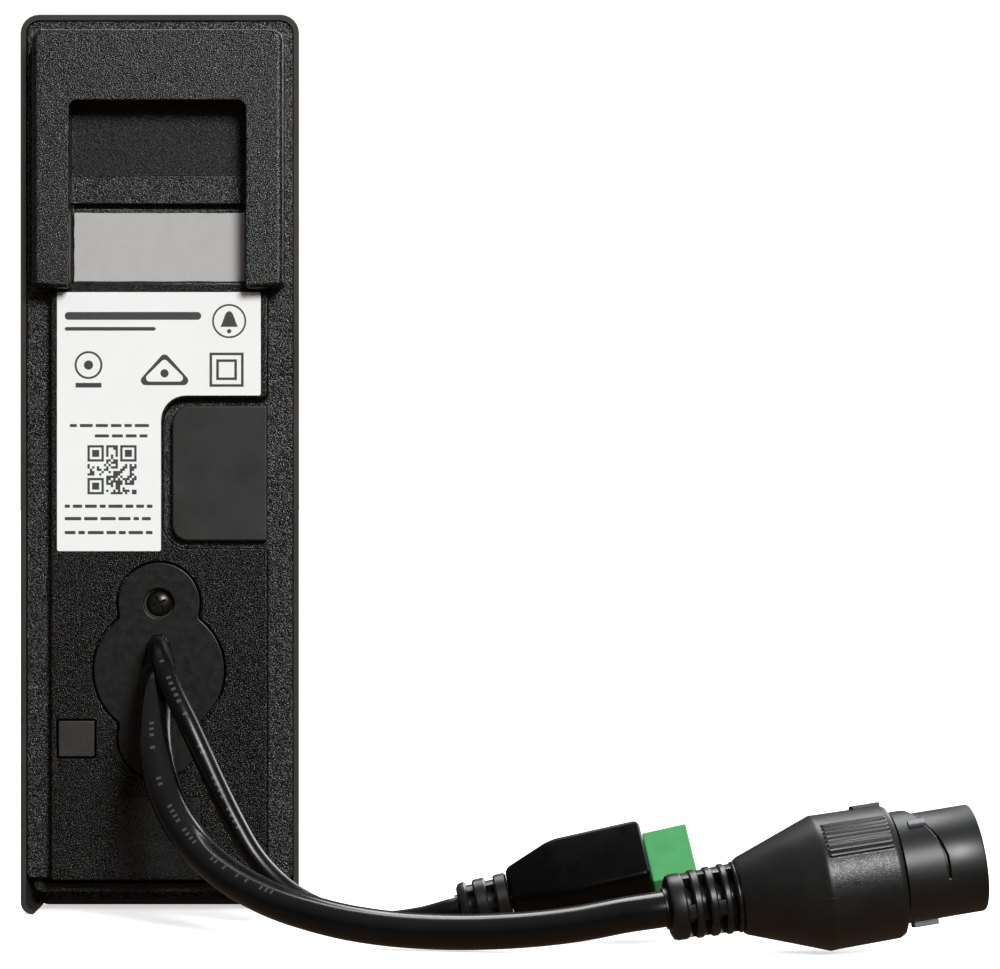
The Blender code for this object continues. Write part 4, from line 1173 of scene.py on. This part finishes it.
def label_pictures():
    """Three plain shapes in a row: a dotted circle over a bar, a triangle and nested squares."""
    z = 105.6
    triangle = [(-1.1, z + 3.4, 0.9), (4.6, z - 3.0, 0.9), (-6.8, z - 3.0, 0.9)]
    smaller = [(-1.1, z + 2.2, 0.7), (3.5, z - 2.3, 0.7), (-5.7, z - 2.3, 0.7)]
    return [
        [circle(13.6, z + 0.9, 2.7, 40), circle(13.6, z + 0.9, 2.3, 40)],
        [circle(13.6, z + 0.9, 0.9, 24)],
        bar(13.6, z - 3.0, 5.0, 0.9),
        [outline(triangle, 5), outline(smaller, 5)],
        [circle(-1.1, z - 0.7, 0.8, 24)],
        square_ring(-13.1, z, 6.6, 0.5),
        square_ring(-13.1, z, 4.0, 0.5),
    ]


def label_rows():
    """Rows of short bars in the place of lines of print."""
    chance = random.Random(21)
    rows = [
        (17.2, 1.4, 94.8, 0.95),
        (12.4, 0.8, 92.8, 0.95),
        (18.2, 0.4, 79.2, 1.0),
        (18.2, 1.1, 76.8, 1.0),
        (18.2, 1.1, 74.1, 1.0),
    ]
    marks = []
    for left, right, z, height in rows:
        x = left
        while x > right + 1.2:
            width = min(chance.uniform(1.0, 3.2), x - right)
            marks.append(bar(x - width / 2, z, width, height * 0.62, 0.15))
            x -= width + 0.55
    return marks


def label_cells(count=21):
    """A square field of dark cells in random places, with a ring in three of its corners."""
    chance = random.Random(5)
    side = 9.5
    left, top = 13.8, 91.0
    cell = side / count
    marks = []
    for row in range(count):
        for column in range(count):
            in_corner = (row < 8 or row > count - 9) and column < 8 or row < 8 and column > count - 9
            if in_corner or chance.random() < 0.52:
                continue
            x, z = left - (column + 0.5) * cell, top - (row + 0.5) * cell
            marks.append(bar(x, z, cell, cell))
    corner = 3.5 * cell
    for x, z in (
        (left - corner, top - corner),
        (left - side + corner, top - corner),
        (left - corner, top - side + corner),
    ):
        marks.append(square_ring(x, z, 7 * cell, cell))
        marks.append(bar(x, z, 3 * cell, 3 * cell))
    return marks


def make_door_and_plate():
    """The access door in the notch, the plate at the cable outlet, its screw seat and grommet."""
    low, high = NOTCH_Z[0] + 1.4, NOTCH_Z[1] - 1.4
    door = outline(
        [
            (-20.9, low, 0.4),
            (NOTCH_X - 1.7, low, 3.1),
            (NOTCH_X - 1.7, high, 3.6),
            (-20.9, high, 0.4),
        ]
    )
    top = Y_PANEL - 0.4
    cover = "access_cover"
    slab("access_door", [door], Y_STRIP + 0.3, top, 0.35, SATIN, cover, cover)
    plate = [plate_outline(), outlet_outline(0.06), circle(0, SCREW_Z, 2.95, 64)]
    node = "cable_cover_plate"
    slab("outlet_plate", plate, Y_STRIP + 0.2, Y_PANEL, 0.2, PLATE_SKIN, node)
    seat = [circle(0, SCREW_Z, 3.1, 64), circle(0, SCREW_Z, 1.4, 64)]
    slab("screw_seat", seat, 6.9, 7.6, 0.05, SATIN)
    grommet = [outlet_outline(0.04)]
    top = Y_PANEL - 0.1
    slab("outlet_grommet", grommet, 5.0, top, 0.1, RUBBER, "cable_grommet")


def make_cover_screw():
    """A domed screw with a crossed recess."""
    head = [(0, 8.75)]
    rim = math.radians(72)
    for step in range(1, 9):
        angle = rim * step / 8
        head.append((2.6 * math.sin(angle) / math.sin(rim), 7.05 + 1.7 * math.cos(angle)))
    head += [(2.6, 7.35), (1.15, 7.2), (1.15, 5.4), (0, 5.4)]
    cross = [
        block_shape((-1.5, -0.28, 7.9), (1.5, 0.28, 9.5)),
        block_shape((-0.28, -1.5, 7.9), (0.28, 1.5, 9.5)),
    ]
    shape = cut(turned_shape(head, 48), cross)
    across = facing(0, SCREW_Z) @ Matrix.Rotation(0.5, 4, "Z")
    bmesh.ops.transform(shape, matrix=across, verts=shape.verts)
    place("plate_screw", shape, BLACK_STEEL, "cover_screw")


def make_tamper():
    x, z = TAMPER_AT
    square = rectangle(3.5, z - 3.5, z + 3.5, 0.3, segments=3, middle=x)
    node = "tamper_plunger"
    slab("tamper_button", [square], 4.4, Y_PANEL - 0.2, 0.25, BROWN, node, node)


# Front -----------------------------------------------------------------------------------------


def quarter_round(radius, height, curve, steps=6):
    """Points round a turned piece's outer top edge, from its flat top down to its side."""
    points = []
    for angle in quarter_turn(steps):
        inward, down = 1 - math.sin(angle), 1 - math.cos(angle)
        points.append((radius - curve * inward, height - curve * down))
    return points


def dome(radius, base, rise, foot, steps=14):
    """A domed stud's profile, from the middle of its dome down to its foot."""
    angles = quarter_turn(steps)
    arc = [(radius * math.sin(angle), base + rise * math.cos(angle)) for angle in angles]
    return [*arc, (radius, foot), (0, foot)]


def make_window():
    """The glossy window and what sits in its openings: the lens, two lamps and the sensor."""
    foot, top = WINDOW_Z - WINDOW_HALF[1], WINDOW_Z + WINDOW_HALF[1]
    openings = [
        circle(0, LENS_Z, 9.0, 96),
        circle(-LED_X, LENS_Z, 2.7, 40),
        circle(LED_X, LENS_Z, 2.7, 40),
        circle(0, SENSOR_Z, 1.5, 32),
    ]
    pane = [rectangle(WINDOW_HALF[0], foot, top, WINDOW_CORNER, segments=12), *openings]
    slab("window_pane", pane, -11.9, Y_FRONT, 0.22, GLOSS, "camera_window")
    across = facing(0, LENS_Z, "front")
    barrel = [*quarter_round(8.6, 12.75, 0.35), (8.6, 9.3), (6.6, 9.3), (6.6, 4.8), (4.4, 4.8)]
    barrel += [(4.4, 9.6)]
    for step in range(5):
        barrel += [(5.4 + 0.4 * step, 9.9 + 0.5 * step), (5.8 + 0.4 * step, 9.9 + 0.5 * step)]
    barrel += [(7.45, 12.5), (7.65, 12.75)]
    turned("lens_baffle", barrel, across, 96, SATIN, "lens_barrel", ring=True)
    turned("lens_dome", dome(5.2, 10.7, 1.4, 10.4), across, 96, LENS, "lens_glass")
    for index, x in enumerate((-LED_X, LED_X), 1):
        across = facing(x, LENS_Z, "front")
        lamp = dome(2.3, 10.6, 2.0, 6.4)
        node = f"infrared_led_{index}"
        turned(f"lamp_dome_{index}", lamp, across, 48, LAMP, node)
    across = facing(0, SENSOR_Z, "front")
    sensor = dome(1.2, 11.7, 0.8, 8.0)
    turned("sensor_dome", sensor, across, 32, DIFFUSER, "light_sensor")


def make_button():
    """The call button with a plain bell on it, and the frosted ring round it."""
    across = facing(0, BUTTON_Z, "front")
    cap = [(0, 12.5), (3.5, 12.51), (6.0, 12.55), (8.2, 12.63), (9.8, 12.72)]
    cap += quarter_round(BUTTON_R, 12.75, 0.6, 8)
    cap += [(BUTTON_R, 10.5), (12.9, 10.5), (12.9, 9.9), (2.0, 9.9), (2.0, 6.3), (0, 6.3)]
    body = "call_button"
    turned("button_cap", cap, across, 128, METAL, body, body=body)
    marks = [
        [bell_outline(0, BUTTON_Z + 0.6, 7.0, 24)],
        [circle(0, BUTTON_Z - 3.6, 0.9, 24)],
    ]
    printed(marks, "button_mark", -12.545, MARK, body)
    light = [*quarter_round(14.7, 12.9, 0.3), (14.7, 10.9), (12.0, 10.9)]
    light += [(12.0, 12.6), (12.1, 12.82), (12.3, 12.9)]
    node = "button_light_ring"
    turned("light_ring", light, across, 128, DIFFUSER, node, ring=True)


def make_speaker_mesh():
    """The punched mesh that shows through the sound slots."""
    mesh = [rectangle(12.6, SPEAKER_Z - 7.2, SPEAKER_Z + 7.2, 0.8)]
    slab("punched_mesh", mesh, -11.1, -11.5, 0.05, PUNCHED, "speaker_mesh")


# Cable ends ------------------------------------------------------------------------------------


def slotted_relief(name, node, across, radii, neck, length, gaps, core, twist=0):
    """A strain relief: thick rings with slots between them, and bridges that join the rings.

    A short sleeve of the core's radius closes round the cable.
    radii are those at its two ends, and neck is how far a bridge lies below a ring. Gaps are
    (start, end, way, bridge) along it, and bridge is the angle that stays, in degrees. The slots
    of "front" open to the front and the back, and "windows" has four smaller slots.
    """
    first, last = radii

    def radius_at(height):
        return first + (last - first) * height / length

    profile = [(0, length)]
    edge = length
    for start, end, _, _ in reversed(gaps):
        outer = radius_at(end)
        profile += [(outer - 0.3, edge), (outer, edge - 0.3), (outer, end + 0.35)]
        profile += [(outer - 0.3, end), (outer - neck, end), (outer - neck, start)]
        edge = start
    profile += [(first - 0.3, edge), (first, edge - 0.35), (first, 1.0), (first - 0.25, 0.35)]
    profile += [(first - 0.9, 0), (core, 0), (core, -0.6), (0, -0.6)]
    cutters = []
    for start, end, way, bridge in gaps:
        if way == "windows":
            openings = [(bridge / 2, 90 - bridge * 0.8), (90 + bridge * 0.8, 180 - bridge / 2)]
        else:
            openings = [(bridge / 2 - 90, 90 - bridge / 2)]
        for side in (0, 180):
            for low, high in openings:
                low, high = low + side + twist, high + side + twist
                cutters.append(ring_sector(core, last + 1, start - 0.02, end + 0.02, low, high))
    shape = cut(turned_shape(profile, 96), cutters)
    bmesh.ops.transform(shape, matrix=across, verts=shape.verts)
    relief = place(name, shape, RUBBER, node)
    return round_edges(relief, 0.22, 50)


def folded_side(angle):
    """A lathe angle as degrees up from the side that faces the back, the same on both sides."""
    side = (360 - angle) % 360 - 180
    return 180 - side if side > 90 else -180 - side if side < -90 else side


def grip_rows(angle):
    """The coupler's cone and grip: ridges on two stretches of the grip, and a mould seam."""
    side = folded_side(angle)
    ridge = 0.0
    if 20 < side < 57:
        ridge = 0.34 * (0.5 - 0.5 * math.cos(TURN * (side - 20) / 4.62)) ** 0.7
    seam = 0.05 if abs(side + 14) < 0.8 else 0.0
    rows = [(0, 41.4), (10.6, 41.4), (11.5, 41.0), (11.9, 40.2)]
    rows += [(11.92, 40.0), (11.93 + ridge, 39.7), (12.1 + ridge, 28.6), (12.12, 28.2)]
    rows += [(12.15 + seam, 27.7), (12.1 + seam, 27.4), (11.9 + seam, 26.9)]
    rows += [(6.95 + seam, 13.4), (6.6, 12.9), (6.2, 12.7), (0, 12.7)]
    return rows


COLLAR_END = [(-90, 48.8), (8, 48.8), (28, 48.0), (47, 46.5), (90, 44.0)]


def collar_rows(angle):
    """The coupler's nose, with a collar whose end edge climbs round it above a groove."""
    side = folded_side(angle)
    end = COLLAR_END[-1][1]
    for (before, at_before), (after, at_after) in zip(COLLAR_END, COLLAR_END[1:]):
        if before <= side <= after:
            end = at_before + (at_after - at_before) * (side - before) / (after - before)
            break
    share = min(max((side + 17) / 2, 0), 1)
    rise = min(max((side + 60) / 45, 0), 1)
    collar = 9.62 + 0.8 * rise * rise * (3 - 2 * rise)
    groove = 9.62 - 0.75 * share
    return [
        (0, 43.2),
        (8.3, 43.2),
        (8.3, 56.0),
        (8.5, 56.2),
        (9.2, 56.2),
        (9.45, 56.1),
        (9.6, 55.8),
        (9.6, end + 0.85),
        (9.52 * share + 9.6 * (1 - share), end + 0.7),
        (groove, end + 0.62),
        (groove, end + 0.05),
        (collar - 0.12 * share, end),
        (collar, end - 0.15 - 3 * (1 - share)),
        (collar, 41.7),
        (0, 41.7),
    ]


def make_coupler():
    gaps = [
        (3.0, 4.2, "windows", 26),
        (5.7, 6.9, "front", 34),
        (8.4, 9.6, "windows", 26),
        (10.9, 11.9, "front", 34),
    ]
    relief = slotted_relief(
        "coupler_relief",
        "coupler_strain_relief",
        COUPLER,
        radii=(5.9, 6.4),
        neck=0.35,
        length=12.7,
        gaps=gaps,
        core=3.7,
        twist=7,
    )
    shape = lathe_shape(grip_rows, 480)
    for face in shape.faces:
        at = face.calc_center_median() / MM
        side = folded_side(math.degrees(math.atan2(at.y, at.x)))
        grained = 28.0 < at.z < 40.1 and -7 < side < 20
        face.material_index = 1 if grained and at.xy.length > 11 else 0
    skin = COUPLER @ Matrix.Rotation(math.radians(-6), 4, "Z")
    bmesh.ops.transform(shape, matrix=skin, verts=shape.verts)
    body = place("coupler_cone_and_grip", shape, DULL, "coupler_body", angle=24)
    body.data.materials.append(GRIP_GRAIN)
    nose_shape = lathe_shape(collar_rows, 240, across=skin)
    nose = place("coupler_collar", nose_shape, DULL, "coupler_nose", angle=28)
    tabs = []
    for name, angle, low, high in (
        ("coupler_top_tab", 90, (11.0, -1.6, 35.2), (12.55, 1.6, 40.4)),
        ("coupler_side_lug", 132, (9.9, -0.62, 43.7), (10.95, 0.62, 46.7)),
        ("coupler_back_lug", 48, (9.9, -0.62, 43.7), (10.95, 0.62, 46.7)),
        ("coupler_bottom_lug", 270, (9.0, -1.7, 42.9), (10.5, 1.7, 47.4)),
    ):
        across = skin @ Matrix.Rotation(math.radians(angle), 4, "Z")
        finish, edge = (DULL, 0.3) if "tab" in name else (LUG, 0.18)
        lug = place(name, block_shape(low, high, across), finish)
        tabs.append(round_edges(lug, edge))
    return [relief, body, nose, *tabs]


def make_terminal():
    relief = slotted_relief(
        "terminal_relief",
        "terminal_strain_relief",
        TERMINAL @ Matrix.Rotation(-TERMINAL_ROLL, 4, "Z"),
        radii=(4.45, 4.5),
        neck=0.75,
        length=9.4,
        gaps=[(1.9, 3.1, "front", 84), (5.5, 7.0, "front", 84)],
        core=2.4,
    )
    tall, wide = 12.8, 13.2
    start, shoulder, end, taper = 9.5, 18.8, 35.6, 0.62
    shape = bmesh.new()
    bmesh.ops.create_cube(shape, size=1)
    bmesh.ops.scale(shape, vec=(tall * MM, wide * MM, (end - shoulder) * MM), verts=shape.verts)
    bmesh.ops.translate(shape, vec=(0, 0, (shoulder + end) / 2 * MM), verts=shape.verts)
    low = min(shape.faces, key=lambda face: face.calc_center_median().z)
    grown = bmesh.ops.extrude_discrete_faces(shape, faces=[low])["faces"][0]
    for vert in grown.verts:
        vert.co = (vert.co.x * taper, vert.co.y * taper, start * MM)
    bmesh.ops.recalc_face_normals(shape, faces=shape.faces)
    sharp = [edge for edge in shape.edges if edge.calc_face_angle(0) > 0.1]
    bmesh.ops.bevel(shape, geom=sharp, offset=1.2 * MM, segments=6, profile=0.5, affect="EDGES")
    shape = cut(shape, [block_shape((-5.85, -6.0, 27), (5.85, 3.0, 37))])
    bmesh.ops.transform(shape, matrix=TERMINAL, verts=shape.verts)
    return [relief, place("terminal_body", shape, OVERMOULD, "terminal_overmould")]


# Everything else -------------------------------------------------------------------------------


def dress_nodes():
    """Gives every CAD node that still shows, or could, a procedural finish."""
    board = {"grain": 0.6, "depth": 0.02, "spread": 0.35}
    paper = {"grain": 0.5, "depth": 0.04, "spread": 0.3}
    finishes = {
        "satin_metal": METAL,
        "textured_black_plastic": ERODED,
        PLASTIC: SATIN,
        "gloss_black": GLOSS,
        "lens_glass": LAMP,
        "label_white": FILM,
        "thermal_pad_grey": PAD,
        "cable_black": cable_jacket("glossy_cable_jacket", 0.18, 0.5).material,
        "black_rubber": RUBBER,
        "terminal_green": GREEN,
        "board_green": simple("green_solder_mask", (0.01, 0.1, 0.045), 0.4, **board),
        "chip_black": simple("moulded_chip_black", (0.02, 0.02, 0.022), 0.5, depth=0.01),
        "steel": simple("plain_steel", (0.55, 0.54, 0.52), 0.3, 1.0, depth=0.004),
        "black_steel": BLACK_STEEL,
        "aluminium": simple("machined_aluminium", (0.75, 0.75, 0.76), 0.38, 1.0),
        "gold_plate": simple("gold_plate", (0.85, 0.6, 0.22), 0.25, 1.0, depth=0.002),
        "light_diffuser": DIFFUSER,
        "plunger_brown": BROWN,
        "cone_paper": simple("black_cone_paper", grey(0.03), 0.85, **paper),
    }
    for part in frame["record"]["subparts"]:
        obj = frame["nodes"][part["node"]]
        obj.data.materials.clear()
        obj.data.materials.append(finishes[part["material_slot"]])
        obj.data.shade_smooth()
        obj.data.set_sharp_from_angle(angle=math.radians(30))


make_view()
thick, thick_length = cable(
    "network_cable",
    THICK_ROUTE,
    COUPLER_AT,
    direction(COUPLER_TILT, COUPLER_TURN),
    THICK_D,
    roughness=0.18,
    specular=0.5,
)
thin, thin_length = cable(
    "control_cable",
    THIN_ROUTE,
    TERMINAL_AT,
    direction(TERMINAL_TILT, 0),
    THIN_D,
    roughness=0.3,
    specular=0.28,
)
make_back_cover()
make_pad()
make_label()
make_door_and_plate()
make_cover_screw()
make_tamper()
make_window()
make_button()
make_speaker_mesh()
on_thick = [*make_coupler(), "network_jack", "jack_contacts"]
on_thin = [*make_terminal(), "terminal_socket", "terminal_plug"]
dress_nodes()
